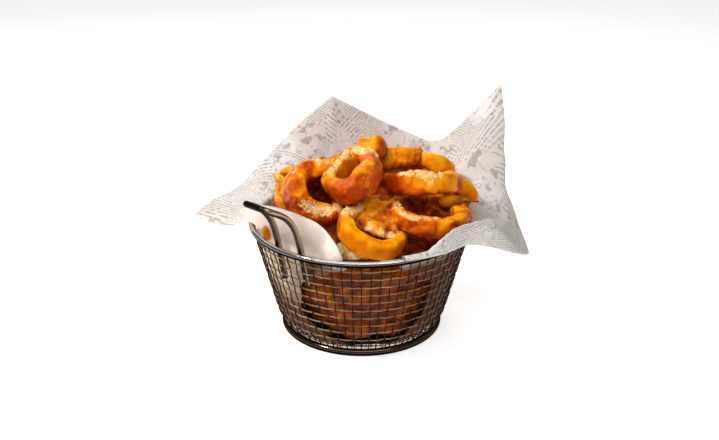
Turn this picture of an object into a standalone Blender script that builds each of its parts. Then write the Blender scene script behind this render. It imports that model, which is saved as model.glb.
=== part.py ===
"""Sauced onion rings heaped in a paper-lined round wire basket.

Metres, +Z up, +X to the right and +Y away from the front. The origin is on the
table, under the middle of the basket. Angles round the basket are in degrees
from +X, so the front is at 270 and the back at 90.
"""
import math
import random

import bmesh
import bpy
from mathutils import Matrix, Vector

for old_object in list(bpy.data.objects):
    bpy.data.objects.remove(old_object, do_unlink=True)

# Air left between touching pieces
GAP = 0.0003

# Wire basket
RIM_RADIUS = 0.0750
RIM_HEIGHT = 0.0765
RIM_WIRE = 0.0044
BASE_RADIUS = 0.0535
BASE_WIRE = 0.0050
MESH_THICKNESS = 0.0014
MESH_BAR = 0.0018
MESH_COLUMNS = 30
MESH_ROWS = 6
FLOOR_PITCH = 0.0155

# Ear handle at the front left
HANDLE_ANGLE = 228.5
HANDLE_WIRE = 0.0042
HANDLE_WIDTH = 0.0205
HANDLE_CORNER = 0.0050
# Side view of one arm, as radius and height, from the foot to the start of the grip
HANDLE_SIDE = ((0.0640, 0.0520), (0.0668, 0.0640), (0.0690, 0.0750), (0.0716, 0.0850),
               (0.0745, 0.0925), (0.0783, 0.0985), (0.0833, 0.1035), (0.0893, 0.1075))
HANDLE_TIP = (0.0990, 0.1128)
HANDLE_CORNER_STEPS = 4

# Paper liner
PAPER_THICKNESS = 0.0006
PAPER_FLOOR_RADIUS = 0.0470
PAPER_STEP = 14.0
PAPER_FLOOR = 0.0066
PAPER_HEIGHTS = (0.0130, 0.0300, 0.0500)
PAPER_BELOW_RIM = 0.0715
PAPER_ARCH = 0.0030

# Heap of rings inside the liner
HEAP_CLEARANCE = 0.0023
HEAP_FRONT_INSET = 0.0085
HEAP_SIDE_INSET = 0.0005
HEAP_BOTTOM = 0.0078
HEAP_HEIGHTS = (0.0140, 0.0300, 0.0410, 0.0500, 0.0620)
HEAP_SHARES = (0.98, 0.75, 0.40)
HEAP_TOP = 0.1100
HEAP_TOP_BACK = 0.0200
HEAP_TOP_FALL = 7.2
HEAP_FRONT_FALL = 8.6
HEAP_EDGE = 0.0650
HEAP_FLOOR_RADIUS = 0.0450
ROOM_LID = 0.1500
# Rings fused on the heap's open front: height and first angle of each row
MEMBER_ROWS = ((0.020, 228.0), (0.044, 236.0), (0.064, 228.0))
MEMBERS_A_ROW = 3
MEMBER_TURN = 32.0
MEMBER_THICKNESS = 0.0075
RING_FIT = 0.0004


def smooth_step(low, high, value):
    """Rise smoothly from 0 at low to 1 at high."""
    t = min(max((value - low) / (high - low), 0.0), 1.0)
    return t * t * (3.0 - 2.0 * t)


def polar(angle, radius, height):
    """Point at an angle in degrees, a radius and a height."""
    a = math.radians(angle)
    return Vector((radius * math.cos(a), radius * math.sin(a), height))


def make_material(name, colour, roughness, metallic=0.0):
    """Principled material with one colour."""
    material = bpy.data.materials.new(name)
    material.use_nodes = True
    shader = material.node_tree.nodes["Principled BSDF"]
    shader.inputs["Base Color"].default_value = (*colour, 1.0)
    shader.inputs["Roughness"].default_value = roughness
    shader.inputs["Metallic"].default_value = metallic
    material.diffuse_color = (*colour, 1.0)
    return material


BRONZE_WIRE = make_material("bronze_wire", (0.16, 0.12, 0.10), 0.25, 1.0)
DARK_MESH = make_material("dark_mesh", (0.10, 0.07, 0.055), 0.35, 1.0)
LINER_PAPER = make_material("liner_paper", (0.74, 0.68, 0.64), 0.80)
SAUCED_CRUST = make_material("sauced_crust", (0.60, 0.16, 0.02), 0.35)
PALE_CRUST = make_material("pale_crust", (0.75, 0.33, 0.04), 0.40)
PALE_ONION = make_material("pale_onion", (0.72, 0.62, 0.38), 0.35)


def new_object(name, mesh, material):
    """Link a mesh to the scene as one object with one material."""
    obj = bpy.data.objects.new(name, mesh)
    bpy.context.scene.collection.objects.link(obj)
    mesh.materials.clear()
    mesh.materials.append(material)
    return obj


def mesh_from(name, build):
    """Run build on an empty bmesh and return it as a mesh with outward faces."""
    bm = bmesh.new()
    build(bm)
    bmesh.ops.recalc_face_normals(bm, faces=bm.faces)
    mesh = bpy.data.meshes.new(name)
    bm.to_mesh(mesh)
    bm.free()
    return mesh


def shade_round(obj, angle=40.0):
    """Smooth shading with sharp edges kept."""
    obj.data.shade_smooth()
    obj.data.set_sharp_from_angle(angle=math.radians(angle))


def bake_modifiers(obj):
    """Replace the object's mesh by its evaluated one."""
    depsgraph = bpy.context.evaluated_depsgraph_get()
    mesh = bpy.data.meshes.new_from_object(obj.evaluated_get(depsgraph))
    obj.modifiers.clear()
    obj.data = mesh


def tidy_cut(obj):
    """Clean the cut edges, drop loose scraps and keep the main body."""
    bm = bmesh.new()
    bm.from_mesh(obj.data)
    bmesh.ops.dissolve_degenerate(bm, dist=2e-5, edges=bm.edges)
    bmesh.ops.dissolve_limit(bm, angle_limit=math.radians(1.5), verts=bm.verts, edges=bm.edges)
    bmesh.ops.dissolve_verts(bm, verts=[v for v in bm.verts if len(v.link_edges) == 2])
    bmesh.ops.triangulate(bm, faces=bm.faces)
    unseen = list(bm.faces)
    bodies = []
    while unseen:
        body = {unseen[0]}
        stack = [unseen[0]]
        while stack:
            for edge in stack.pop().edges:
                for face in edge.link_faces:
                    if face not in body:
                        body.add(face)
                        stack.append(face)
        bodies.append(body)
        unseen = [face for face in unseen if face not in body]
    largest = max(bodies, key=len)
    bmesh.ops.delete(bm, geom=[face for face in bm.faces if face not in largest], context="FACES")
    bm.to_mesh(obj.data)
    bm.free()


def boolean(obj, tools, operation):
    """Apply one EXACT Boolean with a list of tool objects, then remove the tools."""
    group = bpy.data.collections.new("tools")
    bpy.context.scene.collection.children.link(group)
    for tool in tools:
        group.objects.link(tool)
    modifier = obj.modifiers.new(operation.lower(), "BOOLEAN")
    modifier.operation = operation
    modifier.operand_type = "COLLECTION"
    modifier.collection = group
    modifier.solver = "EXACT"
    bake_modifiers(obj)
    for tool in tools:
        bpy.data.objects.remove(tool, do_unlink=True)
    bpy.data.collections.remove(group)
    tidy_cut(obj)


# Rim and base wires


def wire_ring(name, radius, wire, height, around):
    """Closed ring of round wire, its section turned so that a flat faces down."""
    sides = 8

    def build(bm):
        section = []
        for i in range(sides):
            a = 2.0 * math.pi * (i + 0.5) / sides
            across, up = 0.5 * wire * math.cos(a), 0.5 * wire * math.sin(a)
            section.append(bm.verts.new((radius + across, 0.0, height + up)))
        edges = [bm.edges.new((section[i], section[(i + 1) % sides])) for i in range(sides)]
        bmesh.ops.spin(bm, geom=section + edges, axis=(0, 0, 1), cent=(0, 0, 0), angle=2.0 * math.pi,
                       steps=around, use_merge=True)
        bmesh.ops.remove_doubles(bm, verts=bm.verts, dist=1e-6)

    obj = new_object(name, mesh_from(name, build), BRONZE_WIRE)
    shade_round(obj, 60.0)
    return obj


# Formed wire mesh

WALL_BOTTOM = 0.0050
WALL_TOP = RIM_HEIGHT - 0.5 * RIM_WIRE - GAP
WALL_TOP_RADIUS = RIM_RADIUS - 0.0007
WALL_WAIST_RADIUS = 0.0592
WALL_WAIST = 0.0170
WALL_TUCK = 0.0057


def wall_radius(height):
    """Middle of the mesh wall: a cone that tucks in over its lowest stretch."""
    slope = (WALL_TOP_RADIUS - WALL_WAIST_RADIUS) / (WALL_TOP - WALL_WAIST)
    tuck = max(0.0, (WALL_WAIST - height) / WALL_WAIST)
    return WALL_WAIST_RADIUS + slope * (height - WALL_WAIST) - WALL_TUCK * tuck * tuck


def mesh_wall():
    """Wall of crossing bars: every cell between two columns and two rows is open."""
    bar_angle = math.degrees(MESH_BAR / RIM_RADIUS)
    angles = []
    for column in range(MESH_COLUMNS):
        centre = 360.0 * column / MESH_COLUMNS
        angles += [centre - 0.5 * bar_angle, centre + 0.5 * bar_angle]
    pitch = (WALL_TOP - MESH_BAR - WALL_BOTTOM) / MESH_ROWS
    heights = []
    for row in range(MESH_ROWS + 1):
        low = WALL_BOTTOM + pitch * row
        heights += [low, low + MESH_BAR]

    def build(bm):
        skins = []
        for side in (-0.5, 0.5):
            skin = [[bm.verts.new(polar(a, wall_radius(h) + side * MESH_THICKNESS, h)) for a in angles]
                    for h in heights]
            skins.append(skin)
        inner, outer = skins
        count = len(angles)

        def is_open(row, column):
            return row % 2 == 1 and column % 2 == 1

        for row in range(len(heights) - 1):
            for column in range(count):
                after = (column + 1) % count
                if is_open(row, column):
                    corners = [(row, column), (row, after), (row + 1, after), (row + 1, column)]
                    for k in range(4):
                        (r0, c0), (r1, c1) = corners[k], corners[(k + 1) % 4]
                        bm.faces.new((inner[r0][c0], inner[r1][c1], outer[r1][c1], outer[r0][c0]))
                    continue
                for skin in skins:
                    lower, upper = skin[row], skin[row + 1]
                    bm.faces.new((lower[column], lower[after], upper[after], upper[column]))
        for row in (0, len(heights) - 1):
            for column in range(count):
                after = (column + 1) % count
                bm.faces.new((inner[row][column], inner[row][after], outer[row][after], outer[row][column]))

    return new_object("mesh_wall", mesh_from("mesh_wall", build), DARK_MESH)


def mesh_floor():
    """Round floor of crossing bars, level with the base wire it is welded into."""
    radius = BASE_RADIUS - 0.5 * BASE_WIRE - GAP
    bpy.ops.mesh.primitive_cylinder_add(vertices=32, radius=radius, depth=MESH_THICKNESS,
                                        location=(0, 0, 0.0043))
    floor = bpy.context.object
    floor.name = "mesh_floor"
    floor.data.materials.append(DARK_MESH)
    cells = []
    reach = int(radius / FLOOR_PITCH) + 1
    for i in range(-reach, reach):
        for j in range(-reach, reach):
            x, y = (i + 0.5) * FLOOR_PITCH, (j + 0.5) * FLOOR_PITCH
            half = 0.5 * (FLOOR_PITCH - MESH_BAR)
            if math.hypot(abs(x) + half, abs(y) + half) > radius - MESH_BAR:
                continue
            bpy.ops.mesh.primitive_cube_add(size=1.0, location=(x, y, 0.0043))
            cell = bpy.context.object
            cell.scale = (2 * half, 2 * half, 4 * MESH_THICKNESS)
            cells.append(cell)
    boolean(floor, cells, "DIFFERENCE")
    return floor


# Handle


def handle():
    """One bent wire: a foot inside the mesh, up past the rim, then outwards to the grip."""
    tip = Vector(HANDLE_TIP)
    half = 0.5 * HANDLE_WIDTH
    arm = [Vector((half, out, up)) for out, up in HANDLE_SIDE]
    direction = (tip - Vector(HANDLE_SIDE[-1])).normalized()
    corner = []
    for step in range(HANDLE_CORNER_STEPS + 1):
        a = math.radians(90.0 * step / HANDLE_CORNER_STEPS)
        along = HANDLE_CORNER * (math.sin(a) - 1.0)
        across = half - HANDLE_CORNER * (1.0 - math.cos(a))
        corner.append(Vector((across, tip.x + direction.x * along, tip.y + direction.y * along)))
    right = arm + corner
    left = [Vector((-p.x, p.y, p.z)) for p in reversed(right)]
    curve = bpy.data.curves.new("handle", "CURVE")
    curve.dimensions = "3D"
    curve.bevel_depth = 0.5 * HANDLE_WIRE
    curve.bevel_resolution = 2
    curve.use_fill_caps = True
    points = right + left
    spline = curve.splines.new("POLY")
    spline.points.add(len(points) - 1)
    outward = math.radians(HANDLE_ANGLE)
    for point, place in zip(spline.points, points):
        x = place.y * math.cos(outward) - place.x * math.sin(outward)
        y = place.y * math.sin(outward) + place.x * math.cos(outward)
        point.co = (x, y, place.z, 1.0)
    wire = bpy.data.objects.new("handle_wire", curve)
    bpy.context.scene.collection.objects.link(wire)
    depsgraph = bpy.context.evaluated_depsgraph_get()
    mesh = bpy.data.meshes.new_from_object(wire.evaluated_get(depsgraph))
    bpy.data.objects.remove(wire, do_unlink=True)
    bm = bmesh.new()
    bm.from_mesh(mesh)
    bmesh.ops.remove_doubles(bm, verts=bm.verts, dist=1e-6)
    bm.to_mesh(mesh)
    bm.free()
    obj = new_object("handle", mesh, BRONZE_WIRE)
    shade_round(obj, 60.0)
    return obj


# Paper liner

# Edge of the sheet from the open right front round the back to the open left
# front: angle, radius, height and whether the edge turns a sharp corner there
PAPER_EDGE = (
    (291.0 - 360.0, 0.0780, 0.0782, True),
    (-50.0, 0.0800, 0.0775, False),
    (-32.0, 0.0812, 0.0765, False),
    (-22.0, 0.0915, 0.0740, False),
    (-11.0, 0.1050, 0.0650, False),
    (1.0, 0.1160, 0.0505, True),
    (8.0, 0.1130, 0.0620, False),
    (13.5, 0.1100, 0.0755, False),
    (18.0, 0.1072, 0.0870, False),
    (20.5, 0.1088, 0.1010, False),
    (23.0, 0.1095, 0.1130, False),
    (25.5, 0.1120, 0.1300, False),
    (30.5, 0.1140, 0.1555, True),
    (41.0, 0.1020, 0.1290, False),
    (54.0, 0.0955, 0.1068, False),
    (66.0, 0.0890, 0.1112, False),
    (85.0, 0.0835, 0.1243, False),
    (105.0, 0.0848, 0.1395, True),
    (120.0, 0.0905, 0.1210, False),
    (135.0, 0.0980, 0.0975, False),
    (150.0, 0.1040, 0.0800, False),
    (163.0, 0.1110, 0.0775, False),
    (175.5, 0.1165, 0.0753, True),
    (181.0, 0.1050, 0.0750, False),
    (186.0, 0.0900, 0.0752, False),
    (193.0, 0.0808, 0.0805, False),
    (206.0, 0.0785, 0.0940, False),
    (222.0, 0.0755, 0.0998, False),
    (238.0, 0.0755, 0.1040, False),
    (249.0, 0.0728, 0.1005, False),
    (256.5, 0.0712, 0.0890, False),
    (260.5, 0.0706, 0.0785, True),
)
HANDLE_INSET = 0.0066
PAPER_CLEAR = 0.5 * RIM_WIRE + GAP + 0.5 * PAPER_THICKNESS + 0.0006
RIM_ENTRY = 168.0


def edge_point(index, t):
    """Point on the sheet's edge, t of the way from one control to the next."""
    def control(i):
        return Vector(PAPER_EDGE[i][:3])

    start, end = control(index), control(index + 1)
    leave = end - start if PAPER_EDGE[index][3] else 0.5 * (end - control(index - 1))
    arrive = end - start if PAPER_EDGE[index + 1][3] else 0.5 * (control(index + 2) - start)
    t2, t3 = t * t, t * t * t
    return ((2 * t3 - 3 * t2 + 1) * start + (t3 - 2 * t2 + t) * leave
            + (3 * t2 - 2 * t3) * end + (t3 - t2) * arrive)


def edge_columns(step):
    """Edge points spaced at most step degrees apart, with every control among them."""
    points = []
    for index in range(len(PAPER_EDGE) - 1):
        span = PAPER_EDGE[index + 1][0] - PAPER_EDGE[index][0]
        pieces = max(1, math.ceil(span / step))
        points += [edge_point(index, k / pieces) for k in range(pieces)]
    points.append(Vector(PAPER_EDGE[-1][:3]))
    return points


def handle_inset(angle):
    """How far the liner stands in from the mesh beside the handle's feet."""
    return HANDLE_INSET * smooth_step(200.0, 214.0, angle) * (1.0 - smooth_step(245.0, 258.0, angle))


def liner_radius(angle, height):
    """Middle of the liner below the rim."""
    inset = handle_inset(angle) * smooth_step(0.036, 0.050, height)
    return wall_radius(height) - 0.5 * MESH_THICKNESS - GAP - 0.5 * PAPER_THICKNESS - 0.0003 - inset


def opening_shift(angle, height):
    """Turn of the liner's two front edges away from the open front, greatest at mid height."""
    share = smooth_step(0.000, 0.030, height) * (1.0 - smooth_step(0.050, 0.0745, height))
    left = -30.0 * smooth_step(195.0, 260.5, angle)
    right = 22.0 * smooth_step(20.0, 69.0, -angle)
    return share * (left + right)


def liner_column(edge):
    """Points of the liner from the basket's floor up the wall, past the rim and out to the edge."""
    angle, edge_radius, edge_height = edge
    column = [polar(angle, PAPER_FLOOR_RADIUS, PAPER_FLOOR)]
    for height in PAPER_HEIGHTS:
        turned = angle + opening_shift(angle, height)
        column.append(polar(turned, liner_radius(turned, height), height))

    inset = handle_inset(angle)
    rim = Vector((RIM_RADIUS - inset, RIM_HEIGHT))
    edge_flat = Vector((edge_radius, edge_height))
    reach = edge_flat - rim
    rise = math.degrees(math.atan2(reach.y, reach.x))
    slack = math.degrees(math.asin(min(1.0, PAPER_CLEAR / reach.length)))
    lean = min(rise + 90.0 - slack, 165.0)
    below_rim = Vector((liner_radius(angle, PAPER_BELOW_RIM) - 0.0012, PAPER_BELOW_RIM))
    over_rim = rim + PAPER_CLEAR * Vector((math.cos(math.radians(lean)), math.sin(math.radians(lean))))
    wrap = smooth_step(0.0, 40.0, RIM_ENTRY - lean)
    flat = [below_rim]
    for step in range(3):
        turn = math.radians(RIM_ENTRY + (lean - RIM_ENTRY) * step / 2.0)
        around = rim + PAPER_CLEAR * Vector((math.cos(turn), math.sin(turn)))
        flat.append(below_rim.lerp(over_rim, (step + 1) / 3.0).lerp(around, wrap))
    droop = PAPER_ARCH * (1.0 - smooth_step(20.0, 55.0, rise)) * min(1.0, reach.length / 0.02)
    arch = droop + 0.7 * inset
    normal = Vector((-reach.y, reach.x)).normalized()
    for share in (0.33, 0.67, 1.0):
        flat.append(over_rim.lerp(edge_flat, share) + normal * arch * 4.0 * share * (1.0 - share))
    return column + [polar(angle, p.x, p.y) for p in flat]


def paper_liner():
    """Thin wavy sheet: open at the front, over the rim at the sides, standing up at the back."""
    def build(bm):
        grid = [[bm.verts.new(p) for p in liner_column(edge)] for edge in edge_columns(PAPER_STEP)]
        for left, right in zip(grid, grid[1:]):
            for row in range(len(left) - 1):
                bm.faces.new((left[row], right[row], right[row + 1], left[row + 1]))
        bm.faces.new([column[0] for column in grid])
        bmesh.ops.triangulate(bm, faces=bm.faces, quad_method="SHORT_EDGE")

    obj = new_object("paper_liner", mesh_from("paper_liner", build), LINER_PAPER)
    solid = obj.modifiers.new("thickness", "SOLIDIFY")
    solid.thickness = PAPER_THICKNESS
    solid.offset = 0.0
    solid.use_even_offset = False
    bake_modifiers(obj)
    shade_round(obj, 50.0)
    return obj


# Onion rings

# name: centre, lean from upright, angle leant towards, outer radius, band height, thickness, material
RINGS = {
    "ring_front": ((0.0061, -0.0415, 0.0858), 14.0, -40.0, 0.0235, 0.0160, 0.0095, PALE_CRUST),
    "ring_centre": ((-0.0060, -0.0150, 0.1122), 42.0, 238.0, 0.0208, 0.0200, 0.0125, SAUCED_CRUST),
    "ring_right_front": ((0.0455, -0.0215, 0.0888), 6.0, 195.0, 0.0285, 0.0150, 0.0100, SAUCED_CRUST),
    "ring_left": ((-0.0330, -0.0180, 0.1005), 60.0, -31.0, 0.0245, 0.0170, 0.0105, SAUCED_CRUST),
    "ring_right": ((0.0420, 0.0035, 0.1022), 15.0, 90.0, 0.0275, 0.0180, 0.0085, SAUCED_CRUST),
    "ring_top": ((0.0070, 0.0200, 0.1190), 22.0, 60.0, 0.0115, 0.0150, 0.0060, PALE_CRUST),
    "ring_back": ((0.0260, 0.0330, 0.1060), 25.0, 100.0, 0.0200, 0.0140, 0.0070, SAUCED_CRUST),
    "ring_back_right": ((0.0480, 0.0360, 0.0990), 40.0, 60.0, 0.0180, 0.0120, 0.0065, PALE_CRUST),
    "ring_left_back": ((-0.0530, 0.0040, 0.0960), 70.0, 210.0, 0.0150, 0.0090, 0.0055, PALE_CRUST),
    "ring_left_low": ((-0.0525, -0.0090, 0.0868), 20.0, 180.0, 0.0120, 0.0110, 0.0055, PALE_CRUST),
    "ring_right_end": ((0.0640, 0.0120, 0.0930), 65.0, 20.0, 0.0150, 0.0110, 0.0060, PALE_CRUST),
    "ring_middle": ((0.0170, -0.0155, 0.0935), 18.0, 250.0, 0.0120, 0.0120, 0.0055, PALE_CRUST),
    "onion_slice": ((-0.0110, -0.0560, 0.0740), 30.0, 250.0, 0.0110, 0.0080, 0.0035, PALE_ONION),
}
LARGE_RING = 0.0200


def ring_turn(lean, toward):
    """Rotation that leans an upright ring's axis over towards an angle."""
    return Matrix.Rotation(math.radians(toward), 4, "Z") @ Matrix.Rotation(math.radians(lean), 4, "Y")


def ring_object(name, place, lean, toward, radius, band, thickness, material, grow=0.0):
    """Battered onion ring: a band with rounded corners, a little oval and lumpy."""
    middle = radius - 0.5 * thickness
    large = radius > LARGE_RING
    bpy.ops.mesh.primitive_torus_add(major_segments=14 if large else 10, minor_segments=8 if large else 6,
                                     major_radius=middle, minor_radius=0.5 * thickness)
    obj = bpy.context.object
    obj.name = name
    obj.data.materials.append(material)
    phase = 40.0 * (place[0] + 1.7 * place[1])
    for vertex in obj.data.vertices:
        x, y, z = vertex.co
        turn = math.atan2(y, x)
        section = math.atan2(z, math.hypot(x, y) - middle)
        lump = 1.0 + 0.10 * math.sin(3.0 * turn + phase) + 0.07 * math.sin(5.0 * turn - 2.0 * phase)
        across, along = math.cos(section), math.sin(section)
        out = math.copysign(abs(across) ** 0.7, across) * (0.5 * thickness * lump + grow)
        up = math.copysign(abs(along) ** 0.7, along) * (0.5 * band * (2.0 - lump) + grow)
        reach = middle * (1.0 + 0.05 * math.cos(2.0 * turn + phase)) + out
        vertex.co = (reach * math.cos(turn), reach * math.sin(turn), up)
    obj.data.transform(Matrix.Translation(place) @ ring_turn(lean, toward))
    bm = bmesh.new()
    bm.from_mesh(obj.data)
    bmesh.ops.triangulate(bm, faces=bm.faces, quad_method="FIXED")
    bm.to_mesh(obj.data)
    bm.free()
    return obj


def ring_cutters(specs):
    """Copies of rings grown by the fit, to cut their neighbours clear of them."""
    return [ring_object("cutter", *spec, grow=RING_FIT) for spec in specs]


def loose_rings():
    """The rings on top of the heap, each fitted round the ones before it."""
    earlier = []
    for name, spec in RINGS.items():
        ring = ring_object(name, *spec)
        if earlier:
            boolean(ring, ring_cutters(earlier), "DIFFERENCE")
        earlier.append(spec)
        shade_round(ring, 70.0)


# Heap below


def cavity_radius(angle, height):
    """Inside of the liner, less a little air."""
    return liner_radius(angle % 360.0, height) - HEAP_CLEARANCE


def heap_top(x, y):
    """Height of the heap's core: a mound, highest behind the middle."""
    behind = y - HEAP_TOP_BACK
    fall = HEAP_TOP_FALL if behind > 0.0 else HEAP_FRONT_FALL
    return max(HEAP_EDGE, HEAP_TOP - HEAP_TOP_FALL * x * x - fall * behind * behind)


def core_inset(angle):
    """How far the core stands in: deep at the open front, where rings are fused on, and little elsewhere."""
    front = smooth_step(196.0, 218.0, angle) * (1.0 - smooth_step(306.0, 328.0, angle))
    return HEAP_SIDE_INSET + (HEAP_FRONT_INSET - HEAP_SIDE_INSET) * front


def room_top(x, y):
    """Flat lid well above the heap."""
    return ROOM_LID


def heap_solid(name, inset, around, low, top):
    """Filling of the liner, set in from it by a rule of the angle, under a given top."""
    angles = [360.0 * k / around for k in range(around)]
    rows = [[polar(a, HEAP_FLOOR_RADIUS - inset(a), low) for a in angles]]
    for height in HEAP_HEIGHTS:
        rows.append([polar(a, cavity_radius(a, height) - inset(a), height) for a in angles])
    for share in HEAP_SHARES:
        row = []
        for a in angles:
            point = polar(a, share * (cavity_radius(a, HEAP_EDGE) - inset(a)), 0.0)
            point.z = top(point.x, point.y)
            row.append(point)
        rows.append(row)

    def build(bm):
        loops = [[bm.verts.new(point) for point in row] for row in rows]
        for lower, upper in zip(loops, loops[1:]):
            for k in range(around):
                after = (k + 1) % around
                bm.faces.new((lower[k], lower[after], upper[after], upper[k]))
        bm.faces.new(loops[0])
        bmesh.ops.triangulate(bm, faces=[bm.faces.new(loops[-1])])

    return new_object(name, mesh_from(name, build), SAUCED_CRUST)


def ring_heap():
    """Core of the heap with the rings that show through the open front fused on."""
    draw = random.Random(5)
    heap = heap_solid("ring_heap", core_inset, 18, HEAP_BOTTOM + 0.0007, heap_top)
    members = []
    for height, first in MEMBER_ROWS:
        for k in range(MEMBERS_A_ROW):
            angle = first + MEMBER_TURN * k + draw.uniform(-4.0, 4.0)
            lean = draw.uniform(5.0, 75.0)
            toward = angle + draw.uniform(-40.0, 40.0)
            radius = draw.uniform(0.0170, 0.0199)
            band = draw.uniform(0.0100, 0.0140)
            axis = ring_turn(lean, toward) @ Vector((0.0, 0.0, 1.0))
            facing = abs(axis.dot(polar(angle, 1.0, 0.0)))
            extent = radius * math.sqrt(1.0 - facing * facing) + 0.5 * band * facing
            place = polar(angle, cavity_radius(angle, height) - extent - 0.0004, height)
            members.append(ring_object("member", tuple(place), lean, toward, radius, band, MEMBER_THICKNESS,
                                       SAUCED_CRUST))
    boolean(heap, members, "UNION")
    boolean(heap, [heap_solid("room", lambda angle: 0.0, 24, HEAP_BOTTOM, room_top)], "INTERSECT")
    boolean(heap, ring_cutters(RINGS.values()), "DIFFERENCE")
    return heap


wire_ring("rim_wire", RIM_RADIUS, RIM_WIRE, RIM_HEIGHT, 38)
wire_ring("base_wire", BASE_RADIUS, BASE_WIRE, 0.5 * BASE_WIRE * math.cos(math.pi / 8), 32)
mesh_wall()
mesh_floor()
handle()
paper_liner()
loose_rings()
ring_heap()
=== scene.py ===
import math
import random

import bmesh
import bpy
from mathutils import Euler, Matrix, Vector, noise


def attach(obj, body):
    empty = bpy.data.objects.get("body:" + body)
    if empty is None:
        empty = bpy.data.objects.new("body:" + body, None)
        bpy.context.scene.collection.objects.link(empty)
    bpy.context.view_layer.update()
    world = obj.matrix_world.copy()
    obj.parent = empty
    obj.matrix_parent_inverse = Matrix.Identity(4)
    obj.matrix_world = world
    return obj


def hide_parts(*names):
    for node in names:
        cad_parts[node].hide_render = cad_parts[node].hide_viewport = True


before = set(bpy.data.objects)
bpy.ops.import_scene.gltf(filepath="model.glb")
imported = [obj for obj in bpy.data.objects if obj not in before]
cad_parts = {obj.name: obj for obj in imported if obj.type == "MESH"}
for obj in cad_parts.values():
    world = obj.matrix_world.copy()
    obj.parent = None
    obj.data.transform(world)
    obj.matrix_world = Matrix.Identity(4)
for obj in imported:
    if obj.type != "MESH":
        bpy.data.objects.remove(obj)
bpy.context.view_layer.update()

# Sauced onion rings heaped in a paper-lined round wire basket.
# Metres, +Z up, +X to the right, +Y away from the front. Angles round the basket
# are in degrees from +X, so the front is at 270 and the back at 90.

# Basket
RIM_RADIUS = 0.0750
RIM_HEIGHT = 0.0765
RIM_WIRE = 0.0044
BASE_RADIUS = 0.0535
BASE_WIRE = 0.0050
BASE_HEIGHT = 0.00231
MESH_UPRIGHTS = 72
MESH_LEVELS = 11
MESH_WIRE = 0.00086
WEAVE = 0.00030
WALL_FOOT = 0.0052
WALL_TOP = 0.0742
LOWEST_LEVEL = WALL_FOOT + 0.0022
HIGHEST_LEVEL = WALL_TOP - 0.0038
STEPS_A_CROSSING = 4
FLOOR_PITCH = 0.0032
FLOOR_LEVEL = 0.0043
FLOOR_EDGE_GAP = 0.0002

# The wall is a cone down to its waist, and tucks in below that to meet the base ring
CONE_TOP = 0.0740
CONE_TOP_RADIUS = RIM_RADIUS - 0.0007
WALL_WAIST = 0.0170
WALL_WAIST_RADIUS = 0.0592
WALL_TUCK = 0.0057

# Handle: its arms run through points (distance from the basket's axis, height)
HANDLE_ANGLE = 228.5
HANDLE_WIRE = 0.0042
HANDLE_WIDTH = 0.0205
HANDLE_CORNER = 0.0050
CORNER_STEPS = 8
HANDLE_SIDE = ((0.0640, 0.0520), (0.0668, 0.0640), (0.0690, 0.0750), (0.0715, 0.0854),
               (0.0743, 0.0936), (0.0780, 0.1001), (0.0831, 0.1056), (0.0892, 0.1098))
HANDLE_TIP = (0.0989, 0.1152)


# General helpers


def deselect():
    """Leave edit mode and select nothing."""
    if bpy.context.object and bpy.context.object.mode != "OBJECT":
        bpy.ops.object.mode_set(mode="OBJECT")
    bpy.ops.object.select_all(action="DESELECT")


def pick(obj):
    """Make one object the only selected and active one."""
    deselect()
    obj.hide_set(False)
    obj.select_set(True)
    bpy.context.view_layer.objects.active = obj


def add_object(name, data):
    """New object in the scene for a mesh, curve, light or camera."""
    obj = bpy.data.objects.new(name, data)
    bpy.context.scene.collection.objects.link(obj)
    return obj


def smooth_step(low, high, value):
    """Rise smoothly from 0 at low to 1 at high."""
    t = min(max((value - low) / (high - low), 0.0), 1.0)
    return t * t * (3.0 - 2.0 * t)


def polar(angle, radius, height):
    """Point at an angle in degrees, a radius and a height."""
    a = math.radians(angle)
    return Vector((radius * math.cos(a), radius * math.sin(a), height))


def smooth_path(points, pieces):
    """Catmull-Rom path through points, with pieces steps between each two."""
    path = []
    for i in range(len(points) - 1):
        before = points[max(i - 1, 0)]
        start, end = points[i], points[i + 1]
        after = points[min(i + 2, len(points) - 1)]
        bend = 2.0 * before - 5.0 * start + 4.0 * end - after
        twist = 3.0 * start - before - 3.0 * end + after
        for k in range(pieces):
            t = k / pieces
            path.append(0.5 * (2.0 * start + (end - before) * t + bend * t * t + twist * t * t * t))
    path.append(points[-1].copy())
    return path


def settle(obj):
    """Apply the object's place, so that it sits at the origin unturned."""
    pick(obj)
    bpy.ops.object.transform_apply(location=True, rotation=True, scale=True)


def face_outwards(obj):
    """Merge doubles and point all faces outwards."""
    pick(obj)
    bpy.ops.object.mode_set(mode="EDIT")
    bpy.ops.mesh.select_all(action="SELECT")
    bpy.ops.mesh.remove_doubles(threshold=1e-6)
    bpy.ops.mesh.normals_make_consistent(inside=False)
    bpy.ops.object.mode_set(mode="OBJECT")


def join(objects, name):
    """Join copies into one piece."""
    deselect()
    for obj in objects:
        obj.select_set(True)
    bpy.context.view_layer.objects.active = objects[0]
    bpy.ops.object.join()
    joined = bpy.context.object
    joined.name = name
    joined.data.name = name
    return joined


def copy_turned(obj, angle):
    """Copy with its own mesh, turned about the basket's axis."""
    pick(obj)
    bpy.ops.object.duplicate(linked=False)
    copy = bpy.context.object
    copy.data.transform(Matrix.Rotation(math.radians(angle), 4, "Z"))
    return copy


def paint(obj, name, values):
    """Keep one number a vertex as an attribute that the material reads."""
    layer = obj.data.attributes.new(name, "FLOAT", "POINT")
    layer.data.foreach_set("value", values)


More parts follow.
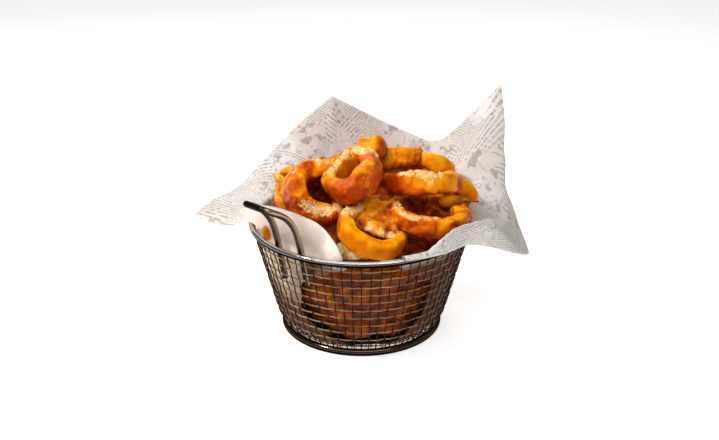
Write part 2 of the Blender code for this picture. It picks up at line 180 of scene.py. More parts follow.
def wire_along(name, points, diameter, resolution, closed=False):
    """Round wire along points, as a mesh."""
    curve = bpy.data.curves.new(name, "CURVE")
    curve.dimensions = "3D"
    curve.bevel_depth = 0.5 * diameter
    curve.bevel_resolution = resolution
    curve.use_fill_caps = not closed
    spline = curve.splines.new("POLY")
    spline.points.add(len(points) - 1)
    for place, point in zip(points, spline.points):
        point.co = (*place, 1.0)
    spline.use_cyclic_u = closed
    pick(add_object(name, curve))
    bpy.ops.object.convert(target="MESH")
    wire = bpy.context.object
    face_outwards(wire)
    bpy.ops.object.shade_smooth()
    return wire


def finish_piece(obj, material, nodes):
    """Give a piece its material, body and the nodes that it stands for."""
    if material is not None:
        obj.data.materials.clear()
        obj.data.materials.append(material)
    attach(obj, "root")
    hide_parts(*nodes)


# Materials


class Nodes:
    """Shorthand for building a node material."""

    def __init__(self, name):
        self.material = bpy.data.materials.new(name)
        self.material.use_nodes = True
        self.tree = self.material.node_tree
        self.shader = self.tree.nodes["Principled BSDF"]

    def node(self, kind, inputs=None, **settings):
        made = self.tree.nodes.new(kind)
        for key, value in settings.items():
            setattr(made, key, value)
        for key, value in (inputs or {}).items():
            self.feed(made.inputs[key], value)
        return made

    def feed(self, socket, value):
        if isinstance(value, bpy.types.NodeSocket):
            self.tree.links.new(value, socket)
        else:
            socket.default_value = value

    def math(self, operation, a, b=0.0, clamp=False):
        made = self.node("ShaderNodeMath", {0: a, 1: b}, operation=operation, use_clamp=clamp)
        return made.outputs[0]

    def plus(self, a, b, clamp=False):
        return self.math("ADD", a, b, clamp)

    def minus(self, a, b):
        return self.math("SUBTRACT", a, b)

    def times(self, a, b):
        return self.math("MULTIPLY", a, b)

    def mix(self, share, a, b, blend="MIX"):
        made = self.node("ShaderNodeMix", data_type="RGBA", blend_type=blend)
        self.feed(made.inputs[0], share)
        self.feed(made.inputs[6], a)
        self.feed(made.inputs[7], b)
        return made.outputs[2]

    def ramp(self, value, low, high, low_value=0.0, high_value=1.0):
        made = self.node("ShaderNodeMapRange", {0: value, 1: low, 2: high, 3: low_value, 4: high_value},
                         interpolation_type="SMOOTHSTEP")
        return made.outputs[0]

    def noise(self, place, scale, detail=3.0, roughness=0.55):
        made = self.node("ShaderNodeTexNoise", {"Vector": place, "Scale": scale, "Detail": detail,
                                                "Roughness": roughness})
        return made.outputs[0]

    def place(self):
        return self.node("ShaderNodeTexCoord").outputs["Object"]

    def attribute(self, name):
        return self.node("ShaderNodeAttribute", attribute_name=name).outputs["Fac"]

    def bump(self, height, distance, strength):
        made = self.node("ShaderNodeBump", {"Height": height, "Distance": distance, "Strength": strength})
        return made.outputs[0]

    def set(self, **values):
        for key, value in values.items():
            self.feed(self.shader.inputs[key.replace("_", " ")], value)


def rgb(red, green, blue):
    """Linear colour from display values of 0 to 255."""
    def linear(value):
        value /= 255.0
        return value / 12.92 if value <= 0.04045 else ((value + 0.055) / 1.055) ** 2.4
    return (linear(red), linear(green), linear(blue), 1.0)


# Metal seen at a grazing angle: darker than bare metal, as plating over wire is
EDGE_TINT = (0.25, 0.23, 0.22, 1.0)
# Painted shade for the rings' undersides and painted light for their tops
RING_PAINTED_SHADE = rgb(10, 8, 9)
RIM_PAINTED_LIGHT = rgb(208, 202, 198)
BASE_PAINTED_LIGHT = rgb(100, 77, 60)
# Painted light and shade on the wire rings: the underside is painted near black and the top pale, as if lit
# from above. Heights from a ring's middle between which its colour goes from the painted shade below to the
# painted light on top
PAINTED_LIGHT_FROM = -0.0001
PAINTED_LIGHT_TO = 0.0011
# Painted highlight: each arm of the handle is painted pale along the side that faces right, front and up,
# standing in for the glint of a bright light
HANDLE_TONES = (rgb(34, 28, 25), rgb(56, 46, 39))
HANDLE_PAINTED_GLINT = rgb(196, 168, 140)
GLINT_FACING = Vector((0.62, -0.68, 0.40))
GLINT_FROM = (0.74, 0.90)
# Painted light and shade on the mesh: the same wire is painted near black on the uprights and pale on the
# level wires, as if light caught only the level ones
SHADED_UPRIGHT_TONES = (rgb(16, 11, 9), rgb(34, 25, 19))
LIT_LEVEL_TONES = (rgb(112, 92, 72), rgb(164, 142, 114))


def ring_wire_material(name, middle_height, painted_light_colour):
    """Polished plated wire ring with painted shade on its underside, painted light on its top, smears and
    fine drawing marks.
    """
    m = Nodes(name)
    place = m.place()
    smear = m.noise(place, 60.0, 4.0)
    height = m.node("ShaderNodeSeparateXYZ", {0: place}).outputs[2]
    # Share of painted light, rising with height across the wire
    top = m.ramp(height, middle_height + PAINTED_LIGHT_FROM, middle_height + PAINTED_LIGHT_TO)
    m.set(Base_Color=m.mix(top, RING_PAINTED_SHADE, painted_light_colour), Metallic=1.0, Specular_Tint=EDGE_TINT)
    m.set(Roughness=m.ramp(smear, 0.3, 0.75, 0.09, 0.17))
    m.set(Normal=m.bump(m.noise(place, 500.0, 2.0), 0.00002, 0.08))
    return m.material


def handle_material():
    """Dark plated handle with a painted highlight stripe along each arm."""
    m = Nodes("handle_bronze")
    smear = m.noise(m.place(), 60.0, 4.0)
    colour = m.mix(m.ramp(smear, 0.35, 0.7), *HANDLE_TONES)
    # Painted highlight along the side of each arm that faces the glint direction
    colour = m.mix(m.attribute("painted_glint_side"), colour, HANDLE_PAINTED_GLINT)
    m.set(Base_Color=colour, Metallic=0.8, Specular_Tint=EDGE_TINT)
    m.set(Roughness=m.ramp(smear, 0.3, 0.75, 0.14, 0.24))
    return m.material


def mesh_wire_material():
    """Thin woven wire: uprights painted dark as painted shade, level wires painted paler as painted light."""
    m = Nodes("dark_mesh_wire")
    place = m.place()
    cloud = m.noise(place, 45.0, 4.0)
    upright = m.mix(m.ramp(cloud, 0.35, 0.7), *SHADED_UPRIGHT_TONES)
    level = m.mix(m.ramp(cloud, 0.35, 0.7), *LIT_LEVEL_TONES)
    # level_wire gives the share of painted light: none on uprights, full on level wires, half on the floor
    colour = m.mix(m.attribute("level_wire"), upright, level)
    m.set(Base_Color=colour, Metallic=0.6, Specular_Tint=EDGE_TINT)
    m.set(Roughness=m.ramp(cloud, 0.3, 0.75, 0.40, 0.55))
    m.set(Normal=m.bump(m.noise(place, 1200.0, 2.0), 0.00002, 0.5))
    return m.material


# Wire basket


def wire_ring(name, radius, wire, height, around=240, sides=24):
    """Round wire ring swept from a circle."""
    deselect()
    bpy.ops.mesh.primitive_circle_add(vertices=sides, radius=0.5 * wire, location=(radius, 0.0, height),
                                      rotation=(0.5 * math.pi, 0.0, 0.0))
    ring = bpy.context.object
    ring.name = name
    settle(ring)
    bpy.ops.object.mode_set(mode="EDIT")
    bpy.ops.mesh.select_all(action="SELECT")
    bpy.ops.mesh.spin(steps=around, angle=2.0 * math.pi, center=(0, 0, 0), axis=(0, 0, 1))
    face_outwards(ring)
    bpy.ops.object.shade_smooth()
    return ring


def wall_radius(height):
    """Middle of the mesh wall at a height."""
    slope = (CONE_TOP_RADIUS - WALL_WAIST_RADIUS) / (CONE_TOP - WALL_WAIST)
    tuck = max(0.0, (WALL_WAIST - height) / WALL_WAIST)
    return WALL_WAIST_RADIUS + slope * (height - WALL_WAIST) - WALL_TUCK * tuck * tuck


def upright_wire(pitch, parity):
    """Upright wire at angle 0 that passes in front of and behind the level ones in turn."""
    points = []
    steps = STEPS_A_CROSSING * (MESH_LEVELS + 1)
    for k in range(steps + 1):
        height = WALL_FOOT + (WALL_TOP - WALL_FOOT) * k / steps
        wave = math.cos(math.pi * ((height - LOWEST_LEVEL) / pitch + parity))
        points.append(polar(0.0, wall_radius(height) + WEAVE * wave, height))
    wire = wire_along("upright", points, MESH_WIRE, 1)
    # Uprights get none of the painted light
    paint(wire, "level_wire", [0.0] * len(wire.data.vertices))
    return wire


def level_wire(height, row):
    """Level wire round the wall, waved the other way from its neighbours."""
    points = []
    steps = STEPS_A_CROSSING * MESH_UPRIGHTS
    for k in range(steps):
        wave = -math.cos(math.pi * (k / STEPS_A_CROSSING + row))
        points.append(polar(360.0 * k / steps, wall_radius(height) + WEAVE * wave, height))
    wire = wire_along("level", points, MESH_WIRE, 1, closed=True)
    # Level wires get the full painted light
    paint(wire, "level_wire", [1.0] * len(wire.data.vertices))
    return wire


def mesh_wall():
    """Woven wall of upright and level wires."""
    pitch = (HIGHEST_LEVEL - LOWEST_LEVEL) / (MESH_LEVELS - 1)
    wires = []
    for parity in (0, 1):
        upright = upright_wire(pitch, parity)
        for k in range(parity, MESH_UPRIGHTS, 2):
            wires.append(copy_turned(upright, 360.0 * k / MESH_UPRIGHTS))
        bpy.data.objects.remove(upright, do_unlink=True)
    for row in range(MESH_LEVELS):
        wires.append(level_wire(LOWEST_LEVEL + pitch * row, row))
    return join(wires, "woven_wall")


def mesh_floor():
    """Woven floor: two crossing sets of straight wires cut to the round."""
    radius = BASE_RADIUS - 0.5 * BASE_WIRE - FLOOR_EDGE_GAP
    wires = []
    count = int(radius / FLOOR_PITCH)
    for k in range(-count, count + 1):
        offset = k * FLOOR_PITCH
        half = math.sqrt(radius * radius - offset * offset)
        steps = max(4, int(4 * half / FLOOR_PITCH))
        for turned in (0, 1):
            points = []
            for s in range(steps + 1):
                along = -half + 2 * half * s / steps
                wave = math.cos(math.pi * (along / FLOOR_PITCH + k + turned))
                flat = (along, offset) if turned else (offset, along)
                points.append(Vector((*flat, FLOOR_LEVEL + WEAVE * wave * (1 if turned else -1))))
            strand = wire_along("floor_wire", points, MESH_WIRE, 1)
            # Floor wires get half the painted light of the level wires
            paint(strand, "level_wire", [0.5] * len(strand.data.vertices))
            wires.append(strand)
    return join(wires, "woven_floor")


def ear_handle():
    """One bent wire, from a foot inside the mesh up past the rim and out to the grip."""
    tip = Vector(HANDLE_TIP)
    half = 0.5 * HANDLE_WIDTH
    arm = [Vector((half, out, up)) for out, up in HANDLE_SIDE]
    direction = (tip - Vector(HANDLE_SIDE[-1])).normalized()
    corner = []
    for step in range(CORNER_STEPS + 1):
        a = math.radians(90.0 * step / CORNER_STEPS)
        along = HANDLE_CORNER * (math.sin(a) - 1.0)
        across = half - HANDLE_CORNER * (1.0 - math.cos(a))
        corner.append(Vector((across, tip.x + direction.x * along, tip.y + direction.y * along)))
    right = smooth_path(arm, 6) + corner
    points = right + [Vector((-p.x, p.y, p.z)) for p in reversed(right)]
    cos, sin = math.cos(math.radians(HANDLE_ANGLE)), math.sin(math.radians(HANDLE_ANGLE))
    points = [Vector((p.y * cos - p.x * sin, p.y * sin + p.x * cos, p.z)) for p in points]
    handle = wire_along("ear_handle", points, HANDLE_WIRE, 6)
    # Share of painted highlight at each vertex, from how nearly its normal faces the glint direction
    paint(handle, "painted_glint_side", [smooth_step(*GLINT_FROM, vertex.normal.dot(GLINT_FACING))
                                for vertex in handle.data.vertices])
    return handle


# Paper liner

PAPER_THICKNESS = 0.00030
PAPER_FLOOR_RADIUS = 0.0505
PAPER_FLOOR = 0.0058
# Where the sheet turns up from the floor, and the heights at which it follows the wall
PAPER_FOOT = (0.0530, 0.0076)
LINER_HEIGHTS = (0.0130, 0.0280, 0.0410, 0.0530)
LINER_GAP = 0.0016
# The sheet stands in beside the handle's feet, most between the two middle angles
HANDLE_INSET = 0.0066
INSET_ANGLES = (200.0, 214.0, 245.0, 258.0)
# Just below the rim, and how far the sheet keeps off the middle of the rim wire
BELOW_RIM = 0.0700
BELOW_RIM_GAP = 0.0010
PAPER_CLEAR = 0.0034
# Angles round the rim wire's section, 0 outwards and 90 up: where the sheet meets it and can first leave it
RIM_ENTRY = 168.0
RIM_LEAVE = 165.0
PAPER_ARCH = 0.0030
PAPER_STEP = 1.6
SHEET_ROWS = 72
FLAP_POINTS = 8
# Panels between the folds: the angle each one starts at and the slope of its printed rows
PRINT_PANELS = ((-69.0, 10.0), (-22.0, 8.0), (14.0, 62.0), (22.0, 84.0), (40.0, -4.0), (61.0, 66.0),
                (88.0, 40.0), (104.0, -39.0), (142.0, 66.0), (160.0, 54.0), (200.0, 4.0))
PRINT_RADIUS = 0.0950
# Soft folds: angle, half width in degrees and depth
SOFT_FOLDS = ((62.0, 5.0, 0.0022), (88.0, 6.0, -0.0024), (76.0, 4.0, 0.0012), (122.0, 8.0, 0.0016),
              (46.0, 5.0, -0.0016), (10.0, 5.0, -0.0012))
# Crease where the right corner turns down: it runs from the rim to the sheet's edge
CREASE_START = -12.0
CREASE_END = 18.0
CREASE_HEIGHT = 0.0060
# Bulge of the sheet over the rim at the right front: height and the angles it rises and falls over
PUFF_HEIGHT = 0.0125
PUFF_RISE = (-66.0, -36.0)
PUFF_FALL = (-24.0, -2.0)
# Turned-over lip of the flap behind the handle: its rise, its reach and the points along it
LIP_RISE = 0.0012
LIP_REACH = 0.0080
LIP_POINTS = ((0.35, 0.25), (0.70, -0.15), (1.0, -0.75))
LIP_ANGLES = (192.0, 206.0, 222.0, 246.0)
# The sheet's edge from the right front round the back to the left front: angle, radius and height
PAPER_EDGE = (
    (-69.0, 0.0780, 0.0782), (-50.0, 0.0800, 0.0775), (-32.0, 0.0812, 0.0758),
    (-22.0, 0.0915, 0.0706), (-11.0, 0.1050, 0.0598), (-1.5, 0.1148, 0.0512),
    (1.5, 0.1160, 0.0520), (8.0, 0.1130, 0.0620), (13.5, 0.1100, 0.0755),
    (18.0, 0.1072, 0.0870), (20.5, 0.1088, 0.1010), (23.0, 0.1095, 0.1130),
    (25.5, 0.1120, 0.1300), (30.5, 0.1140, 0.1555), (41.0, 0.1020, 0.1290),
    (54.0, 0.0955, 0.1068), (66.0, 0.0890, 0.1112), (85.0, 0.0835, 0.1243),
    (105.0, 0.0848, 0.1395), (120.0, 0.0905, 0.1210), (135.0, 0.0980, 0.0975),
    (150.0, 0.1040, 0.0800), (163.0, 0.1110, 0.0775), (175.5, 0.1165, 0.0753),
    (181.0, 0.1050, 0.0750), (186.0, 0.0900, 0.0752), (193.0, 0.0808, 0.0840),
    (206.0, 0.0790, 0.0995), (222.0, 0.0760, 0.1060), (238.0, 0.0755, 0.1062),
    (249.0, 0.0728, 0.1005), (256.5, 0.0712, 0.0890), (260.5, 0.0706, 0.0785),
)
# Angles at which the edge turns a corner or ends
PAPER_CORNERS = (-69.0, 30.5, 105.0, 175.5, 260.5)


def plateau(angles, value):
    """Rise from 0 to 1 between the first two angles and fall back between the last two."""
    return smooth_step(*angles[:2], value) * (1.0 - smooth_step(*angles[2:], value))


def edge_point(index, t):
    """Point on the sheet's edge, t of the way from one control to the next."""
    def control(i):
        return Vector(PAPER_EDGE[i])

    start, end = control(index), control(index + 1)
    leave = arrive = end - start
    if start.x not in PAPER_CORNERS:
        leave = 0.5 * (end - control(index - 1))
    if end.x not in PAPER_CORNERS:
        arrive = 0.5 * (control(index + 2) - start)
    t2, t3 = t * t, t * t * t
    return ((2 * t3 - 3 * t2 + 1) * start + (t3 - 2 * t2 + t) * leave
            + (3 * t2 - 2 * t3) * end + (t3 - t2) * arrive)


def edge_columns(step):
    """Edge points spaced at most step degrees apart, with every control among them."""
    points = []
    for index in range(len(PAPER_EDGE) - 1):
        span = PAPER_EDGE[index + 1][0] - PAPER_EDGE[index][0]
        pieces = max(1, math.ceil(span / step))
        points += [edge_point(index, k / pieces) for k in range(pieces)]
    points.append(Vector(PAPER_EDGE[-1]))
    return points


def handle_inset(angle):
    """How far the liner stands in from the mesh beside the handle's feet."""
    return HANDLE_INSET * plateau(INSET_ANGLES, angle)


def liner_radius(angle, height):
    """Middle of the liner below the rim."""
    inset = handle_inset(angle) * smooth_step(0.036, 0.050, height)
    return wall_radius(height) - LINER_GAP - inset


def opening_shift(angle, height):
    """Turn of the liner's two front edges away from the open front, greatest at mid height."""
    share = smooth_step(0.000, 0.030, height) * (1.0 - smooth_step(0.050, 0.0745, height))
    left = -30.0 * smooth_step(195.0, 260.5, angle)
    right = 22.0 * smooth_step(20.0, 69.0, -angle)
    return share * (left + right)


def beside_rim(rim, angle):
    """Point just off the rim wire's section, at an angle round it."""
    turn = math.radians(angle)
    return rim + PAPER_CLEAR * Vector((math.cos(turn), math.sin(turn)))


def over_rim(angle, rim, lean):
    """Sheet from just below the rim to where it leaves the wire, at an angle of lean round it."""
    below = Vector((liner_radius(angle, BELOW_RIM) - BELOW_RIM_GAP, BELOW_RIM))
    leave = beside_rim(rim, lean)
    wrap = smooth_step(0.0, 40.0, RIM_ENTRY - lean)
    points = [below]
    for step in range(4):
        around = beside_rim(rim, RIM_ENTRY + (lean - RIM_ENTRY) * step / 3.0)
        points.append(below.lerp(leave, (step + 1) / 4.0).lerp(around, wrap))
    return points


def flap(angle, start, end, arch):
    """Sheet from the rim out to its edge, bowed by its arch, bulge, soft folds and crease."""
    rim = Vector((RIM_RADIUS - handle_inset(angle), RIM_HEIGHT))
    reach = end - rim
    normal = Vector((-reach.y, reach.x)).normalized()
    puff = PUFF_HEIGHT * smooth_step(*PUFF_RISE, angle) * (1.0 - smooth_step(*PUFF_FALL, angle))
    fold = sum(depth * math.exp(-((angle - middle) / half) ** 2) for middle, half, depth in SOFT_FOLDS)
    along_crease = (angle - CREASE_START) / (CREASE_END - CREASE_START)
    points = []
    for step in range(FLAP_POINTS):
        share = (step + 1) / FLAP_POINTS
        bow = (arch + puff) * 4.0 * share * (1.0 - share) + fold * share * (1.3 - share)
        if 0.0 < along_crease < 1.0:
            ridge = min(share / along_crease, (1.0 - share) / (1.0 - along_crease))
            bow += CREASE_HEIGHT * math.sin(math.pi * along_crease) * ridge
        points.append(start.lerp(end, share) + normal * bow)
    return points


def liner_column(edge):
    """Points (angle, radius, height) of the liner from the floor up the wall, past the rim and out."""
    angle, edge_radius, edge_height = edge
    column = [Vector((angle, PAPER_FLOOR_RADIUS, PAPER_FLOOR)), Vector((angle, *PAPER_FOOT))]
    for height in LINER_HEIGHTS:
        turned = angle + opening_shift(angle, height)
        column.append(Vector((turned, liner_radius(turned, height), height)))
    inset = handle_inset(angle)
    rim = Vector((RIM_RADIUS - inset, RIM_HEIGHT))
    edge_flat = Vector((edge_radius, edge_height))
    reach = edge_flat - rim
    rise = math.degrees(math.atan2(reach.y, reach.x))
    slack = math.degrees(math.asin(min(1.0, PAPER_CLEAR / reach.length)))
    lean = min(rise + 90.0 - slack, RIM_LEAVE)
    droop = PAPER_ARCH * (1.0 - smooth_step(20.0, 55.0, rise)) * min(1.0, reach.length / 0.02)
    flat = over_rim(angle, rim, lean)
    flat += flap(angle, beside_rim(rim, lean), edge_flat, droop + 0.7 * inset)
    lip = plateau(LIP_ANGLES, angle)
    if lip > 0.01:
        for along, down in LIP_POINTS:
            flat.append(edge_flat + lip * Vector((LIP_REACH * along, LIP_RISE * down)))
    return column + [Vector((angle, p.x, p.y)) for p in flat]


def even_rows(column, count):
    """The column's smooth path cut into count steps of equal length, and how far along each point is."""
    places = [polar(*p) for p in smooth_path(column, 8)]
    along = [0.0]
    for a, b in zip(places, places[1:]):
        along.append(along[-1] + (b - a).length)
    rows, index = [], 0
    for k in range(count + 1):
        wanted = along[-1] * k / count
        while index < len(along) - 2 and along[index + 1] < wanted:
            index += 1
        share = (wanted - along[index]) / max(along[index + 1] - along[index], 1e-9)
        rows.append((places[index].lerp(places[index + 1], share), wanted))
    return rows


def print_place(angle, along, panel):
    """Place of a point of the sheet in the print of a panel, in metres along and across the rows."""
    start, slope = panel
    sideways = -PRINT_RADIUS * math.radians(angle - start)
    turn = math.radians(slope)
    rows = sideways * math.cos(turn) + along * math.sin(turn)
    across = along * math.cos(turn) - sideways * math.sin(turn)
    return rows + 0.001 * start, across + 0.0013 * start


def paper_mesh():
    """Grid of the sheet, its print laid out panel by panel, closed by one face on the floor."""
    columns = edge_columns(PAPER_STEP)
    grid = [even_rows(liner_column(edge), SHEET_ROWS) for edge in columns]
    bm = bmesh.new()
    uv_layer = bm.loops.layers.uv.new("sheet")
    verts = [[bm.verts.new(place) for place, along in rows] for rows in grid]
    for k, (left, right) in enumerate(zip(verts, verts[1:])):
        middle = 0.5 * (columns[k][0] + columns[k + 1][0])
        panel = [panel for panel in PRINT_PANELS if panel[0] <= middle][-1]
        for row in range(SHEET_ROWS):
            face = bm.faces.new((left[row], right[row], right[row + 1], left[row + 1]))
            face.smooth = True
            for loop, (side, step) in zip(face.loops, ((0, row), (1, row), (1, row + 1), (0, row + 1))):
                loop[uv_layer].uv = print_place(columns[k + side][0], grid[k + side][step][1], panel)
    floor = bm.faces.new([line[0] for line in verts])
    floor.smooth = True
    for loop in floor.loops:
        loop[uv_layer].uv = loop.vert.co.xy
    bmesh.ops.recalc_face_normals(bm, faces=bm.faces)
    bmesh.ops.triangulate(bm, faces=[floor])
    mesh = bpy.data.meshes.new("printed_liner")
    bm.to_mesh(mesh)
    bm.free()
    return mesh


# Grease reaches up to these heights on the inside, wholly and in part
GREASE_FULL = 0.0680
GREASE_NONE = 0.0745
PAPER_WHITE = rgb(224, 219, 214)
PAPER_SHADE = rgb(212, 202, 192)
PRINT_INK = rgb(92, 86, 82)
GREASE_PALE = rgb(238, 208, 174)
GREASE_DARK = rgb(100, 48, 14)
BACK_WHITE = rgb(250, 234, 222)
BACK_SHADE = rgb(236, 214, 196)
# How strongly the print shows on the side with the ink and through the plain side
PRINTED_INK = 0.88
PLAIN_INK = 0.06
# Kinds of text: which patches show it, between two draws of 0 to 1, its row pitch and word length, half a
# letter's height as a share of the pitch, how much of a row is gaps and how dark the ink is
TEXT_KINDS = ((0.00, 0.50, 0.0019, 0.0014, 0.25, 0.38, 0.50),
              (0.50, 0.64, 0.0030, 0.0016, 0.24, 0.40, 0.62),
              (0.64, 0.68, 0.0056, 0.0017, 0.28, 0.44, 0.60))
SHAPE_KIND = (0.68, 0.95)


def paper_sheet():
    """Thin printed sheet with soft folds, greasy and soaked where food lies against it."""
    sheet = add_object("printed_liner", paper_mesh())
    inside = [v.co.xy.length < RIM_RADIUS for v in sheet.data.vertices]
    paint(sheet, "grease", [within * (1.0 - smooth_step(GREASE_FULL, GREASE_NONE, v.co.z))
                            for v, within in zip(sheet.data.vertices, inside)])
    paint(sheet, "soak", [1.0 - smooth_step(0.030, 0.052, -v.co.x) * smooth_step(0.026, 0.056, v.co.z)
                          for v in sheet.data.vertices])
    pick(sheet)
    solid = sheet.modifiers.new("thickness", "SOLIDIFY")
    solid.thickness = PAPER_THICKNESS
    solid.offset = 0.0
    solid.material_offset = 1
    solid.material_offset_rim = 1
    sheet.data.materials.append(paper_material("plain_side", BACK_WHITE, BACK_SHADE, PLAIN_INK))
    sheet.data.materials.append(paper_material("printed_side", PAPER_WHITE, PAPER_SHADE, PRINTED_INK))
    bpy.ops.object.modifier_apply(modifier="thickness")
    return sheet


def print_ink(m, sheet):
    """Share of ink: a patchwork of small text, large text, headings, grey shapes and drawn outlines."""
    parts = m.node("ShaderNodeSeparateXYZ", {0: sheet})
    rows, across = parts.outputs[0], parts.outputs[1]
    flat = m.node("ShaderNodeCombineXYZ", {0: rows, 1: across}).outputs[0]
    cells = m.node("ShaderNodeTexVoronoi", {"Vector": flat, "Scale": 36.0, "Randomness": 0.75},
                   distance="CHEBYCHEV")
    kind = m.node("ShaderNodeSeparateXYZ", {0: cells.outputs["Color"]}).outputs[0]

    def text(pitch, word, weight, gap):
        count = m.math("DIVIDE", across, pitch)
        row = m.math("FLOOR", count)
        body = m.math("ABSOLUTE", m.minus(m.minus(count, row), 0.5))
        shift = m.node("ShaderNodeTexWhiteNoise", {1: row}, noise_dimensions="1D").outputs[0]
        along = m.plus(m.math("DIVIDE", rows, word), m.times(shift, 90.0))
        spot = m.node("ShaderNodeCombineXYZ", {0: along, 1: m.times(row, 7.3)}).outputs[0]
        words = m.ramp(m.noise(spot, 1.0, 2.0), gap, gap + 0.10)
        return m.times(m.math("LESS_THAN", body, weight), words)

    def only(low, high, value):
        inside = m.times(m.math("GREATER_THAN", kind, low), m.math("LESS_THAN", kind, high))
        return m.times(inside, value)

    hatch = m.math("FRACT", m.math("DIVIDE", m.plus(rows, across), 0.0013))
    shape = m.times(m.ramp(m.noise(flat, 130.0, 2.0), 0.56, 0.59), m.ramp(hatch, 0.0, 1.0, 0.35, 0.75))
    ink = only(*SHAPE_KIND, shape)
    for low, high, pitch, word, weight, gap, strength in TEXT_KINDS:
        line = only(low, high, m.times(text(pitch, word, weight, gap), strength))
        ink = m.math("MAXIMUM", ink, line)
    outline = m.math("ABSOLUTE", m.minus(m.noise(flat, 70.0, 2.0), 0.5))
    outline = m.times(m.ramp(outline, 0.014, 0.005), m.ramp(kind, 0.50, 0.70, 0.10, 0.6))
    return m.math("MAXIMUM", ink, outline)


def paper_material(name, white, shade, ink_share):
    """Thin greaseproof paper with soft mottling, worn print and fine crumples."""
    m = Nodes(name)
    place = m.place()
    sheet = m.node("ShaderNodeUVMap", uv_map="sheet").outputs[0]
    cloud = m.noise(place, 34.0, 4.0)
    colour = m.mix(m.ramp(cloud, 0.35, 0.68), white, shade)
    worn = m.ramp(m.noise(sheet, 240.0, 3.0), 0.30, 0.55, 0.45, 1.0)
    ink = m.times(m.times(print_ink(m, sheet), worn), ink_share)
    colour = m.mix(ink, colour, PRINT_INK)
    streaks = m.node("ShaderNodeMapping", {"Vector": place, "Scale": (1.0, 1.0, 0.2)}).outputs[0]
    streak = m.minus(m.noise(streaks, 130.0, 3.0), 0.5)
    soaked = m.plus(m.attribute("soak"), m.times(streak, 0.8), clamp=True)
    stain = m.mix(soaked, GREASE_PALE, GREASE_DARK)
    colour = m.mix(m.attribute("grease"), colour, stain)
    m.set(Base_Color=colour, Roughness=0.72, Specular_IOR_Level=0.25)
    crumple = m.node("ShaderNodeTexVoronoi", {"Vector": place, "Scale": 62.0}, feature="SMOOTH_F1").outputs[0]
    m.set(Normal=m.bump(m.plus(crumple, m.times(m.noise(place, 150.0, 3.0), 0.35)), 0.0016, 0.5))
    return m.material


# Onion rings

# name: centre, lean from upright, angle leant towards, outer radius, band height, thickness
RINGS = {
    "ring_front": ((0.0071, -0.0415, 0.0846), 24.0, -28.0, 0.0235, 0.0138, 0.0095),
    "ring_centre": ((-0.0060, -0.0172, 0.1143), 30.0, 205.0, 0.0208, 0.0185, 0.0114),
    "ring_right_front": ((0.0436, -0.0210, 0.0892), 7.0, 340.0, 0.0280, 0.0130, 0.0110),
    "ring_left": ((-0.0290, -0.0168, 0.1013), 48.0, -50.0, 0.0235, 0.0200, 0.0130),
    "ring_right": ((0.0412, 0.0035, 0.1000), 24.0, 90.0, 0.0267, 0.0148, 0.0085),
    "ring_top": ((0.0062, 0.0200, 0.1195), 26.0, 170.0, 0.0118, 0.0150, 0.0105),
    "ring_back": ((0.0245, 0.0320, 0.1080), 25.0, 100.0, 0.0190, 0.0145, 0.0075),
    "ring_back_right": ((0.0480, 0.0360, 0.1005), 40.0, 60.0, 0.0185, 0.0130, 0.0075),
    "ring_left_back": ((-0.0490, 0.0060, 0.0960), 70.0, 210.0, 0.0150, 0.0090, 0.0055),
    "ring_left_low": ((-0.0475, -0.0090, 0.0955), 20.0, 180.0, 0.0115, 0.0110, 0.0065),
    "ring_right_end": ((0.0640, 0.0120, 0.0930), 65.0, 20.0, 0.0150, 0.0110, 0.0060),
    "ring_middle": ((0.0130, -0.0140, 0.0915), 18.0, 250.0, 0.0115, 0.0120, 0.0055),
    "onion_slice": ((-0.0046, -0.0492, 0.0752), 10.0, 70.0, 0.0110, 0.0088, 0.0040),
}

# Scraps: place, half sizes, turn about each axis in degrees and height of lumps
SCRAPS = {
    "front_ring_sheet": ((0.0100, -0.0325, 0.0915), (0.0195, 0.0135, 0.0030), (36.0, 14.0, -16.0), 0.0042),
    "front_ring_flake": ((0.0125, -0.0415, 0.0868), (0.0150, 0.0052, 0.0018), (42.0, 16.0, -14.0), 0.0032),
    "middle_lump": ((0.0135, -0.0195, 0.0950), (0.0100, 0.0080, 0.0060), (20.0, 0.0, 10.0), 0.0015),
    "right_shard": ((0.0715, -0.0060, 0.0925), (0.0078, 0.0018, 0.0013), (0.0, 8.0, 8.0), 0.0010),
    "right_slab": ((0.0692, 0.0040, 0.0968), (0.0122, 0.0058, 0.0068), (0.0, 37.0, 0.0), 0.0014),
    "hole_lump": ((0.0595, -0.0100, 0.0925), (0.0085, 0.0060, 0.0062), (0.0, 0.0, 0.0), 0.0015),
    "rim_bit": ((-0.0625, -0.0318, 0.0792), (0.0026, 0.0016, 0.0052), (0.0, -14.0, 10.0), 0.0008),
    "left_slab": ((-0.0530, -0.0025, 0.1045), (0.0088, 0.0034, 0.0034), (0.0, 46.0, 0.0), 0.0010),
}

# Kind of batter on rings and scraps; those that aren't named are sauced. ring_middle and middle_lump get a
# darker copy of the batter, painted shade for pieces that lie in the shade of others
BATTER_ON = {
    "pale": ("ring_front", "ring_top", "ring_back_right", "ring_left_back", "ring_left_low",
             "ring_right_end", "right_slab", "rim_bit"),
    "inner": ("ring_middle", "middle_lump"),
    "flaky": ("front_ring_sheet", "front_ring_flake", "right_shard", "hole_lump"),
    "buttery": ("left_slab",),
}

